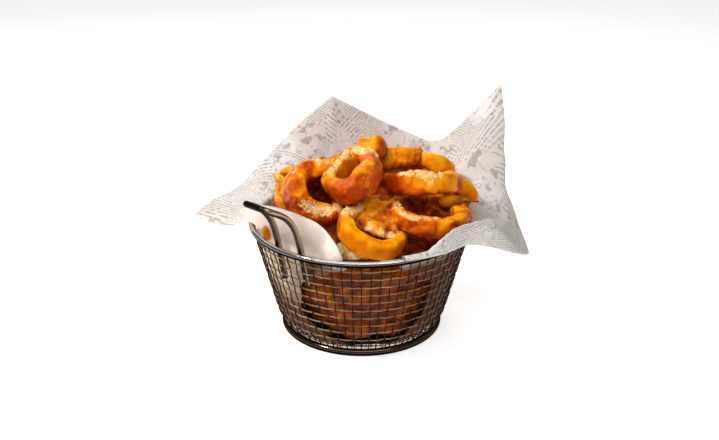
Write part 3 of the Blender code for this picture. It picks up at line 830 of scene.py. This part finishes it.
# Where crumbs, golden batter and thick sauce lie: centre and radius of each patch, in millimetres
PATCHES = {
    "ring_front": {
        "crumb": ((-8.5, -35.5, 99, 7), (-10, -40, 99, 6.5), (-5, -34, 98, 6.5),
                  (-10.5, -43, 98, 5), (-7, -39, 98.5, 5.5), (-1, -30.5, 97, 5)),
        "golden": ((-10, -56, 91, 13), (0, -63, 85, 18), (12.5, -63, 79.5, 18),
                   (25.5, -53, 79, 12)),
        "sauce": ((-16.5, -47, 91, 7), (29, -42, 78, 9))},
    "ring_centre": {
        "crumb": ((-14.5, -13.5, 120.5, 6), (-21, -16.5, 118, 6.5), (-17, -9, 121.5, 6),
                  (-10.5, -6.5, 125, 6.5), (-7.5, -10.5, 127, 6), (-3, -7, 129.5, 6.5),
                  (-3, -13, 130, 5.5), (2, -12.5, 131, 6), (7.5, -13.5, 129.5, 5.5),
                  (0.5, -9.5, 129, 7), (6, -9, 128.5, 6), (10.5, -15.5, 128.5, 5)),
        "golden": ((-7.5, -8, 119.5, 7), (-12, -12, 116, 6), (-24, -24, 110, 6),
                   (2, -33, 115, 4)),
        "sauce": ((-7.5, -33, 112, 12), (12, -28, 116, 8))},
    "ring_right_front": {
        "crumb": ((23.5, -26, 98, 6), (24, -31, 98, 6), (26.5, -37, 97, 6),
                  (30.5, -41, 96, 5.5), (35.5, -43, 95, 5), (42.5, -43.5, 95.5, 5),
                  (49, -41.5, 95, 4.5), (67.5, -20, 94, 4)),
        "golden": ((52, -45, 90, 6), (61, -36, 91, 7),
                   (59.5, -8, 88, 9)),
        "sauce": ((25, -30, 88, 9), (34.5, -46, 82.5, 6), (50, -48, 82, 6))},
    "ring_left": {
        "crumb": ((-37.5, -38.5, 103, 6), (-33.5, -37.5, 100.5, 6.5), (-30, -36.5, 98, 7.5),
                  (-25.5, -35.5, 97, 7.5), (-21.5, -34.5, 96, 7.5), (-15.5, -30, 96.5, 6.5),
                  (-28.5, -9, 122, 6), (-23, -8, 121, 5), (-44, -22, 119, 3.5)),
        "golden": ((-28, -14, 118, 7), (-40.5, -35, 109.5, 3.5), (-46, -26, 113, 4),
                   (-30, -39, 96, 4)),
        "sauce": ((-34, -16, 121, 7), (-43.5, -30, 111, 7), (-33, -38, 94, 6),
                  (-24, -37, 88, 9), (-15, -33, 90, 8))},
    "ring_right": {
        "crumb": ((27, -14, 116, 5), (32, -16, 116, 6), (37, -17, 116.5, 6.5),
                  (42, -17, 116, 6.5), (47, -17, 116, 6), (52, -15.5, 115, 5.5),
                  (45, -20.5, 111.5, 4)),
        "golden": ((30, -19, 112.5, 4), (38, -20, 112, 6), (47, -20.5, 109.5, 7.5),
                   (56, -18, 108.5, 8), (62, -14, 107.5, 7)),
        "sauce": ((20, -12, 106, 11), (27, -17.5, 104, 9), (38, -20, 102.5, 6))},
    "ring_back": {
        "golden": ((18, 20, 114, 9), (30, 18, 117, 8))},
    "ring_back_right": {
        "golden": ((47.5, 20.5, 111.5, 16),)},
    "ring_top": {
        "golden": ((-1, 14, 125, 11),),
        "sauce": ((15, 14, 122, 10), (10, 8, 118, 8))},
    "ring_left_back": {
        "golden": ((-55, 5, 104, 14),)},
    "ring_left_low": {
        "golden": ((-55, -10, 98, 14),)},
    "front_ring_sheet": {
        "crumb": ((-5, -33, 97, 6), (24, -36, 87, 5)),
        "golden": ((2, -31, 95, 9), (11, -25, 96, 8)),
        "sauce": ((15, -33, 91, 7), (4, -38, 91, 5))},
    "front_ring_flake": {
        "crumb": ((5, -42.5, 88.5, 5), (12, -44.5, 85.5, 5.5), (19, -45, 83, 6),
                  (24, -43, 83, 5)),
        "golden": ((9, -43, 87, 8),)},
    "rim_bit": {
        "golden": ((-62.5, -32, 77.5, 5),)},
    "right_slab": {
        "golden": ((68, 4, 98, 20),)},
    "hole_lump": {
        "golden": ((57, -10, 96, 8),)},
}
# Share of a patch's radius within which it is whole, and the same for a patch of crumbs
PATCH_FULL = 0.60
CRUMB_FULL = 0.25

# Heights of the batter's relief; a ring's lumps are a share of its radius
LUMP_SHARE = 0.085
KNOB_HEIGHT = 0.0009
GRAIN_HEIGHT = 0.0004
CRUMB_HEIGHT = 0.0008
# Rings over this radius have a squarer section: the power that rounds it is smaller
LARGE_RING = 0.0200
LARGE_SECTION = 0.60
SMALL_SECTION = 0.85


def ring_turn(lean, toward):
    """Rotation that leans an upright ring's axis over towards an angle."""
    return Matrix.Rotation(math.radians(toward), 4, "Z") @ Matrix.Rotation(math.radians(lean), 4, "Y")


def band_point(place, turn, section, radius, band, thickness):
    """Point on a battered band: a rounded section, a little oval and lumpy, before it is leant over."""
    middle = radius - 0.5 * thickness
    phase = 40.0 * (place[0] + 1.7 * place[1])
    lump = 1.0 + 0.10 * math.sin(3.0 * turn + phase) + 0.07 * math.sin(5.0 * turn - 2.0 * phase)
    power = LARGE_SECTION if radius > LARGE_RING else SMALL_SECTION
    across, along = math.cos(section), math.sin(section)
    out = math.copysign(abs(across) ** power, across) * 0.5 * thickness * lump
    up = math.copysign(abs(along) ** power, along) * 0.5 * band * (2.0 - lump)
    reach = middle * (1.0 + 0.05 * math.cos(2.0 * turn + phase)) + out
    return reach * math.cos(turn), reach * math.sin(turn), up


def relief_texture(name, size, depth):
    """Displacement texture with lumps of about the given size."""
    texture = bpy.data.textures.new(name, "CLOUDS")
    texture.noise_scale = size
    texture.noise_depth = depth
    return texture


BATTER_LUMPS = relief_texture("batter_lumps", 0.0080, 2)
BATTER_KNOBS = relief_texture("batter_knobs", 0.0034, 2)
BATTER_GRAIN = relief_texture("batter_grain", 0.0016, 3)
CRUMB_GRAINS = relief_texture("crumb_grains", 0.0011, 1)
MOUND_LUMPS = relief_texture("mound_lumps", 0.0140, 2)


def raise_relief(obj, texture, height, middle=0.5, group=""):
    """Displace the surface by a texture and apply it."""
    pick(obj)
    modifier = obj.modifiers.new("relief", "DISPLACE")
    modifier.texture = texture
    modifier.texture_coords = "LOCAL"
    modifier.strength = height
    modifier.mid_level = middle
    modifier.vertex_group = group
    bpy.ops.object.modifier_apply(modifier="relief")


def patch_share(point, patches, full=PATCH_FULL):
    """How much a point lies in any of the patches: wholly within the given share of a patch's radius."""
    share = 0.0
    for x, y, z, reach in patches:
        away = math.dist(point, (0.001 * x, 0.001 * y, 0.001 * z)) / (0.001 * reach)
        share = max(share, 1.0 - smooth_step(full, 1.0, away))
    return share


def ragged(point, share):
    """Break a soft patch up into specks, fewer towards its edge."""
    if share <= 0.0:
        return 0.0
    rough = 0.5 + 0.45 * noise.noise(Vector(point) * 800.0) + 0.40 * noise.noise(Vector(point) * 330.0)
    return smooth_step(0.95 - 0.75 * share, 1.12 - 0.75 * share, rough)


def dress_crust(obj, patches, lumps):
    """Raise lumps, grain and crumbs on a crust, and paint where crumbs, sauce and golden batter lie, and how
    far each point faces up and stands raised, for painted light and shade.
    """
    points = [vertex.co.copy() for vertex in obj.data.vertices]
    crumb = [ragged(point, patch_share(point, patches.get("crumb", ()), CRUMB_FULL)) for point in points]
    golden = [patch_share(point, patches.get("golden", ())) for point in points]
    for name, shares in (("crumb_relief", crumb), ("grain_relief", [1.0 - 0.85 * share for share in golden])):
        group = obj.vertex_groups.new(name=name)
        for index, share in enumerate(shares):
            if share > 0.0:
                group.add([index], share, "REPLACE")
    raise_relief(obj, BATTER_LUMPS, lumps)
    raise_relief(obj, BATTER_KNOBS, KNOB_HEIGHT, 0.5, "grain_relief")
    raise_relief(obj, BATTER_GRAIN, GRAIN_HEIGHT, 0.5, "grain_relief")
    if max(crumb) > 0.0:
        raise_relief(obj, CRUMB_GRAINS, CRUMB_HEIGHT, 0.30, "crumb_relief")
    paint(obj, "crumb", crumb)
    paint(obj, "golden", golden)
    paint(obj, "sauce", [patch_share(point, patches.get("sauce", ())) for point in points])
    # Painted light and shade: how far each point faces up and how far the relief raised it, which the
    # material reads to paint tops and ridges lighter and undersides and hollows darker
    paint(obj, "painted_light_upward", [vertex.normal.z for vertex in obj.data.vertices])
    paint(obj, "raised", [(vertex.co - point).dot(vertex.normal) / 0.001
                          for vertex, point in zip(obj.data.vertices, points)])
    return obj


def battered_ring(name, place, lean, toward, radius, band, thickness, around=200, sides=72):
    """Battered onion ring with lumps, a fine grain, and crumbs where its patches lie."""
    deselect()
    middle = radius - 0.5 * thickness
    bpy.ops.mesh.primitive_torus_add(major_segments=around, minor_segments=sides, major_radius=middle,
                                     minor_radius=0.5 * thickness)
    ring = bpy.context.object
    ring.name = name
    for vertex in ring.data.vertices:
        x, y, z = vertex.co
        turn = math.atan2(y, x)
        section = math.atan2(z, math.hypot(x, y) - middle)
        vertex.co = band_point(place, turn, section, radius, band, thickness)
    ring.data.transform(Matrix.Translation(place) @ ring_turn(lean, toward))
    pick(ring)
    bpy.ops.object.shade_smooth()
    return dress_crust(ring, PATCHES.get(name.removesuffix("_crust"), {}), LUMP_SHARE * radius)


def batter_scrap(name, place, radii, turn, lumps):
    """Loose lump, flat scrap or slab, from a ball drawn out and turned."""
    deselect()
    bpy.ops.mesh.primitive_uv_sphere_add(segments=72, ring_count=48, radius=1.0)
    scrap = bpy.context.object
    scrap.name = name
    lean = Euler([math.radians(angle) for angle in turn]).to_matrix().to_4x4()
    scrap.data.transform(Matrix.Translation(place) @ lean @ Matrix.Diagonal((*radii, 1.0)))
    pick(scrap)
    bpy.ops.object.shade_smooth()
    return dress_crust(scrap, PATCHES.get(name, {}), lumps)


# Kinds of batter: material, tone in hollows, on ridges and on top, and share of clear glaze. The hollows'
# tone is painted shade and pooled sauce, the ridges' and top tones painted light. Two kinds are darker copies
# with painted shade: one for pieces low in the heap or shaded by others, one for the mound seen between the
# rings
CRUSTS = {
    "sauced": ("sauced_crust", rgb(160, 50, 0), rgb(234, 114, 0), rgb(255, 188, 30), 0.12),
    "pale": ("pale_crust", rgb(214, 92, 0), rgb(250, 156, 6), rgb(255, 206, 56), 0.0),
    "inner": ("heap_crust", rgb(84, 28, 0), rgb(158, 74, 2), rgb(206, 120, 18), 0.1),
    "shadow": ("mound_crust", rgb(48, 8, 0), rgb(120, 36, 0), rgb(186, 82, 6), 0.15),
    "flaky": ("flaky_crust", rgb(116, 46, 0), rgb(192, 100, 6), rgb(244, 168, 46), 0.12),
    "buttery": ("buttery_crust", rgb(240, 140, 10), rgb(255, 196, 62), rgb(255, 232, 140), 0.0),
}
GLAZE_TINT = (1.0, 0.70, 0.36, 1.0)
MOTTLE = (0.80, 0.62, 0.42, 1.0)
WHITE = (1.0, 1.0, 1.0, 1.0)
SAUCE_RED = rgb(196, 68, 0)
GOLDEN_TONES = (rgb(232, 120, 0), rgb(255, 168, 8))
CRUMB_TONES = (rgb(232, 150, 36), rgb(255, 248, 196))
LOOSE_CRUMB_TONES = (rgb(244, 192, 84), rgb(255, 250, 204))
ONION_TONES = (rgb(168, 112, 52), rgb(218, 190, 132))


def crust_material(name, deep, bright, top, glaze):
    """Batter under thin sauce: deep in hollows and below, bright on ridges, with crumbs and golden parts; the
    deep and bright tones are painted shade and painted light, the hollows' tone also standing for pooled
    sauce.
    """
    m = Nodes(name)
    place = m.place()
    cloud = m.noise(place, 110.0, 4.0, 0.6)
    middle = m.noise(place, 330.0, 3.0)
    fine = m.noise(place, 1500.0, 3.0)
    crumb, golden, sauce = m.attribute("crumb"), m.attribute("golden"), m.attribute("sauce")
    # Painted light and shade: tops and raised ridges are painted brighter, undersides and hollows darker
    ridge = m.plus(m.times(m.attribute("painted_light_upward"), 0.6), m.times(m.attribute("raised"), 0.8))
    facing = m.plus(ridge, m.times(m.minus(cloud, 0.5), 1.5))
    colour = m.mix(m.ramp(facing, -0.55, 0.55), deep, bright)
    # Painted highlight: the most upward and raised parts take the top tone
    lit = m.times(m.ramp(facing, 0.20, 1.00), m.ramp(middle, 0.40, 0.60, 0.25, 1.0))
    colour = m.mix(lit, colour, top)
    # Golden batter is painted lighter where it faces up: painted light
    golden_tone = m.mix(m.ramp(facing, -0.4, 0.9), *GOLDEN_TONES)
    colour = m.mix(m.times(golden, 0.9), colour, golden_tone)
    red = m.times(sauce, m.ramp(cloud, 0.38, 0.58, 0.35, 0.95))
    colour = m.mix(red, colour, SAUCE_RED)
    mottle = m.mix(m.ramp(m.noise(place, 230.0, 3.0), 0.36, 0.60), MOTTLE, WHITE)
    colour = m.mix(m.minus(1.0, m.times(golden, 0.8)), colour, mottle, "MULTIPLY")
    crumb_tone = m.mix(m.ramp(fine, 0.42, 0.60), *CRUMB_TONES)
    colour = m.mix(m.times(crumb, 0.9), colour, crumb_tone)
    rough = m.plus(m.ramp(middle, 0.3, 0.7, 0.08, 0.24), m.times(crumb, 0.35), clamp=True)
    m.set(Base_Color=colour, Roughness=rough, Specular_Tint=GLAZE_TINT, IOR=1.20)
    m.set(Coat_Weight=glaze, Coat_Roughness=0.05, Coat_IOR=1.33)
    relief = m.plus(m.times(middle, 0.7), m.times(fine, 0.4))
    m.set(Normal=m.bump(relief, 0.0010, 0.7))
    return m.material


def onion_material():
    """Bare cooked onion: pale cream with a green cast and thin lines along the slice."""
    m = Nodes("cooked_onion")
    place = m.place()
    streak = m.noise(place, 260.0, 3.0)
    colour = m.mix(m.ramp(streak, 0.35, 0.65), *ONION_TONES)
    m.set(Base_Color=colour, Roughness=0.28, Subsurface_Weight=0.2, Subsurface_Scale=0.004)
    m.set(Normal=m.bump(m.noise(place, 700.0, 3.0), 0.0003, 0.6))
    return m.material


# Loose crumbs: one for this many crumbed vertices, and their smallest, largest and usual size
CRUMB_SPACING = 9
CRUMB_SIZES = (0.00020, 0.00075, 0.00027)


def loose_crumbs(crusts):
    """Small broken crumbs lying on the crumbed parts of the crusts, each with its own tone."""
    draw = random.Random(11)
    deselect()
    bpy.ops.mesh.primitive_ico_sphere_add(subdivisions=1, radius=1.0)
    crumb = bpy.context.object
    pieces = []
    for crust in crusts:
        shares = crust.data.attributes["crumb"].data
        rich = [v.index for v in crust.data.vertices if shares[v.index].value > 0.45]
        for index in draw.sample(rich, len(rich) // CRUMB_SPACING):
            vertex = crust.data.vertices[index]
            size = draw.triangular(*CRUMB_SIZES)
            turn = Euler([draw.uniform(0.0, 2.0 * math.pi) for _ in range(3)]).to_matrix().to_4x4()
            width = size * draw.uniform(0.55, 1.0)
            depth = size * draw.uniform(0.4, 0.8)
            stretch = Matrix.Diagonal((size, width, depth, 1.0))
            place = Matrix.Translation(vertex.co + vertex.normal * 0.25 * size)
            mesh = crumb.data.copy()
            for corner in mesh.vertices:
                corner.co *= draw.uniform(0.8, 1.15)
            mesh.transform(place @ turn @ stretch)
            piece = add_object("crumb", mesh)
            paint(piece, "tone", [draw.random()] * len(mesh.vertices))
            pieces.append(piece)
    bpy.data.objects.remove(crumb, do_unlink=True)
    return join(pieces, "loose_crumbs")


def crumb_material():
    """Dry crumbs from cream to toasted gold."""
    m = Nodes("dry_crumbs")
    colour = m.mix(m.ramp(m.attribute("tone"), 0.1, 0.9), *LOOSE_CRUMB_TONES)
    m.set(Base_Color=colour, Roughness=0.6, Specular_Tint=GLAZE_TINT)
    m.set(Normal=m.bump(m.noise(m.place(), 1800.0, 2.0), 0.0002, 0.5))
    return m.material


# Heap below the loose rings

# How far the core stands in from the paper: little at the sides, more between the open front's angles
HEAP_CLEARANCE = 0.0023
HEAP_SIDE_INSET = 0.0005
HEAP_FRONT_INSET = 0.0036
OPEN_FRONT = (196.0, 218.0, 306.0, 328.0)
HEAP_FLOOR = 0.0085
HEAP_FLOOR_RADIUS = 0.0450
HEAP_EDGE = 0.0650
# The mound's top, how far behind the middle it is, and how steeply it falls away, more so to the front
HEAP_TOP = 0.1100
HEAP_TOP_BACK = 0.0200
HEAP_FALL = 7.2
HEAP_FRONT_FALL = 8.6
MOUND_HEIGHT = 0.0030
CORE_LUMPS = 0.0022
# Where the floor, the foot and the wall end, as shares of the way from the ball's lower pole to its upper one
FLOOR_SHARE = 0.15
FOOT_SHARE = 0.22
WALL_SHARE = 0.50
# Rings that show through the open front: height and first angle of each row
FRONT_ROWS = ((0.020, 228.0), (0.044, 236.0), (0.064, 228.0))
RINGS_A_ROW = 3
ROW_TURN = 32.0
FRONT_GAP = 0.0004
HEAP_RING_THICKNESS = 0.0075
# Rings half sunk in the mound behind: angle, distance from the middle, lean, angle leant towards, radius
REAR_RINGS = ((48.0, 0.0540, 38.0, 40.0, 0.0165), (80.0, 0.0500, 30.0, 95.0, 0.0180),
              (112.0, 0.0490, 16.0, 120.0, 0.0150), (142.0, 0.0500, 42.0, 150.0, 0.0175),
              (96.0, 0.0290, 14.0, 200.0, 0.0170), (150.0, 0.0300, 22.0, 110.0, 0.0165),
              (168.0, 0.0490, 40.0, 175.0, 0.0120))
REAR_BAND = 0.0120
REAR_SINK = 0.0038


def cavity_radius(angle, height):
    """Inside of the liner, less a little air."""
    return liner_radius(angle % 360.0, height) - HEAP_CLEARANCE


def heap_top(x, y):
    """Height of the heap's core: a mound, highest behind the middle."""
    behind = y - HEAP_TOP_BACK
    fall = HEAP_FALL if behind > 0.0 else HEAP_FRONT_FALL
    return max(HEAP_EDGE, HEAP_TOP - HEAP_FALL * x * x - fall * behind * behind)


def heap_core():
    """Packed filling under the rings: a ball drawn out to the liner's inside and the mound's top."""
    deselect()
    bpy.ops.mesh.primitive_uv_sphere_add(segments=200, ring_count=140, radius=1.0)
    core = bpy.context.object
    core.name = "heap_core"
    for vertex in core.data.vertices:
        angle = math.degrees(math.atan2(vertex.co.y, vertex.co.x)) % 360.0
        share = math.acos(max(-1.0, min(1.0, -vertex.co.z))) / math.pi
        inset = HEAP_SIDE_INSET + (HEAP_FRONT_INSET - HEAP_SIDE_INSET) * plateau(OPEN_FRONT, angle)
        if share < FLOOR_SHARE:
            point = polar(angle, share / FLOOR_SHARE * (HEAP_FLOOR_RADIUS - inset), HEAP_FLOOR)
        elif share < WALL_SHARE:
            up = (share - FLOOR_SHARE) / (WALL_SHARE - FLOOR_SHARE)
            height = HEAP_FLOOR + up * (HEAP_EDGE - HEAP_FLOOR)
            foot = 1.0 - smooth_step(FLOOR_SHARE, FOOT_SHARE, share)
            narrow = (HEAP_FLOOR_RADIUS - cavity_radius(angle, HEAP_FLOOR)) * foot
            point = polar(angle, cavity_radius(angle, height) - inset + narrow, height)
        else:
            inwards = (1.0 - share) / (1.0 - WALL_SHARE)
            point = polar(angle, inwards * (cavity_radius(angle, HEAP_EDGE) - inset), 0.0)
            point.z = heap_top(point.x, point.y)
        vertex.co = point
    face_outwards(core)
    bpy.ops.object.shade_smooth()
    raise_relief(core, MOUND_LUMPS, MOUND_HEIGHT, 0.7)
    return dress_crust(core, {}, CORE_LUMPS)


def front_heap_rings():
    """Place, lean, direction and size of each ring that shows through the open front."""
    draw = random.Random(5)
    for height, first in FRONT_ROWS:
        for k in range(RINGS_A_ROW):
            angle = first + ROW_TURN * k + draw.uniform(-4.0, 4.0)
            lean = draw.uniform(5.0, 75.0)
            toward = angle + draw.uniform(-40.0, 40.0)
            radius = draw.uniform(0.0170, 0.0199)
            band = draw.uniform(0.0100, 0.0140)
            axis = ring_turn(lean, toward) @ Vector((0.0, 0.0, 1.0))
            facing = abs(axis.dot(polar(angle, 1.0, 0.0)))
            extent = radius * math.sqrt(1.0 - facing * facing) + 0.5 * band * facing
            place = polar(angle, cavity_radius(angle, height) - extent - FRONT_GAP, height)
            yield tuple(place), lean, toward, radius, band, HEAP_RING_THICKNESS


def rear_heap_rings():
    """Place, lean, direction and size of each ring half sunk in the mound behind."""
    for angle, distance, lean, toward, radius in REAR_RINGS:
        place = polar(angle, distance, 0.0)
        place.z = heap_top(place.x, place.y) - REAR_SINK
        yield tuple(place), lean, toward, radius, REAR_BAND, HEAP_RING_THICKNESS


# Build


def build_basket():
    """Rim, base ring, woven mesh and handle."""
    rim = wire_ring("rim_ring", RIM_RADIUS, RIM_WIRE, RIM_HEIGHT)
    finish_piece(rim, ring_wire_material("rim_bronze", RIM_HEIGHT, RIM_PAINTED_LIGHT), ["rim_wire"])
    base = wire_ring("base_ring", BASE_RADIUS, BASE_WIRE, BASE_HEIGHT)
    finish_piece(base, ring_wire_material("base_bronze", BASE_HEIGHT, BASE_PAINTED_LIGHT), ["base_wire"])
    mesh_wire = mesh_wire_material()
    finish_piece(mesh_wall(), mesh_wire, ["mesh_wall"])
    finish_piece(mesh_floor(), mesh_wire, ["mesh_floor"])
    finish_piece(ear_handle(), handle_material(), ["handle"])


def finish_crust(obj, name, crusts, nodes):
    """Give a ring or scrap the batter of its kind."""
    kind = next((kind for kind, names in BATTER_ON.items() if name in names), "sauced")
    finish_piece(obj, crusts[kind], nodes)


def build_rings(crusts):
    """Rings and scraps on top, with the crumbs that lie on them."""
    crumbed = []
    for name, spec in RINGS.items():
        if name == "onion_slice":
            onion = battered_ring(name + "_bare", *spec, 120, 40)
            finish_piece(onion, onion_material(), [name])
            continue
        ring = battered_ring(name + "_crust", *spec)
        finish_crust(ring, name, crusts, [name])
        if "crumb" in PATCHES.get(name, {}):
            crumbed.append(ring)
    for name, spec in SCRAPS.items():
        scrap = batter_scrap(name, *spec)
        finish_crust(scrap, name, crusts, [])
        if "crumb" in PATCHES.get(name, {}):
            crumbed.append(scrap)
    finish_piece(loose_crumbs(crumbed), crumb_material(), [])


def build_heap(crusts):
    """Core of the heap and the rings half hidden in it."""
    core = heap_core()
    # Painted shade: the mound's top gets the darkest batter and the core below it the shaded batter
    core.data.materials.append(crusts["shadow"])
    core.data.materials.append(crusts["inner"])
    for face in core.data.polygons:
        face.material_index = 1 if face.center.z < HEAP_EDGE else 0
    finish_piece(core, None, ["ring_heap"])
    for index, spec in enumerate(front_heap_rings()):
        ring = battered_ring("front_heap_ring_%d" % index, *spec, 140, 48)
        # Rings seen through the mesh get the darker batter: painted shade
        finish_piece(ring, crusts["inner"], ["ring_heap"])
    for index, spec in enumerate(rear_heap_rings()):
        ring = battered_ring("rear_heap_ring_%d" % index, *spec, 140, 48)
        finish_piece(ring, crusts["sauced"], ["ring_heap"])


# Floor, light and camera

# Square lights: place, point lit, size and power
LIGHTS = {
    "top_box": ((-0.05, -0.10, 0.85), (0, 0, 0.08), (1.2, 0.6), 2.5),
    "left_key": ((-0.50, -0.20, 0.70), (0, 0, 0.08), (0.10, 0.10), 5.0),
    "front_strip": ((-0.05, -0.78, 0.92), (0, 0, 0.06), (1.7, 0.10), 3.6),
    "back_box": ((-0.15, 0.70, 0.55), (0, 0, 0.10), (0.5, 0.25), 1.8),
}
FLOOR_GLOW = 0.64
SKY_COLOUR = (1.0, 0.99, 0.98, 1.0)
SKY_STRENGTH = 0.15
CAMERA_PLACE = (0.0, -0.7231, 0.3780)
CAMERA_AIM = (-0.0014, 0.0, 0.0756)
CAMERA_LENS = 57.28
CAMERA_SENSOR = 36.0


def aim(obj, place, target):
    """Put a light or camera at a place and turn it towards a point."""
    obj.location = place
    obj.rotation_euler = (Vector(target) - Vector(place)).to_track_quat("-Z", "Y").to_euler()


def studio():
    """Pale floor, soft lights and the camera at the photo's angle."""
    deselect()
    bpy.ops.mesh.primitive_plane_add(size=8.0, location=(0, 0, -0.0002))
    floor = bpy.context.object
    floor.name = "studio_floor"
    m = Nodes("studio_floor")
    m.set(Base_Color=(0.9, 0.9, 0.9, 1.0), Roughness=0.9)
    m.set(Emission_Color=WHITE, Emission_Strength=FLOOR_GLOW)
    floor.data.materials.append(m.material)
    world = bpy.data.worlds.new("studio")
    bpy.context.scene.world = world
    world.use_nodes = True
    background = world.node_tree.nodes["Background"]
    background.inputs["Color"].default_value = SKY_COLOUR
    background.inputs["Strength"].default_value = SKY_STRENGTH
    for name, (place, target, size, power) in LIGHTS.items():
        light = bpy.data.lights.new(name, "AREA")
        light.shape = "RECTANGLE"
        light.size, light.size_y = size
        light.energy = power
        aim(add_object(name, light), place, target)
    camera_data = bpy.data.cameras.new("photo_camera")
    camera_data.sensor_width = CAMERA_SENSOR
    camera_data.lens = CAMERA_LENS
    camera_data.clip_start = 0.05
    camera = add_object("photo_camera", camera_data)
    aim(camera, CAMERA_PLACE, CAMERA_AIM)
    bpy.context.scene.camera = camera
    bpy.context.scene.view_settings.view_transform = "Standard"


build_basket()
finish_piece(paper_sheet(), None, ["paper_liner"])
all_crusts = {kind: crust_material(*spec) for kind, spec in CRUSTS.items()}
build_rings(all_crusts)
build_heap(all_crusts)
studio()
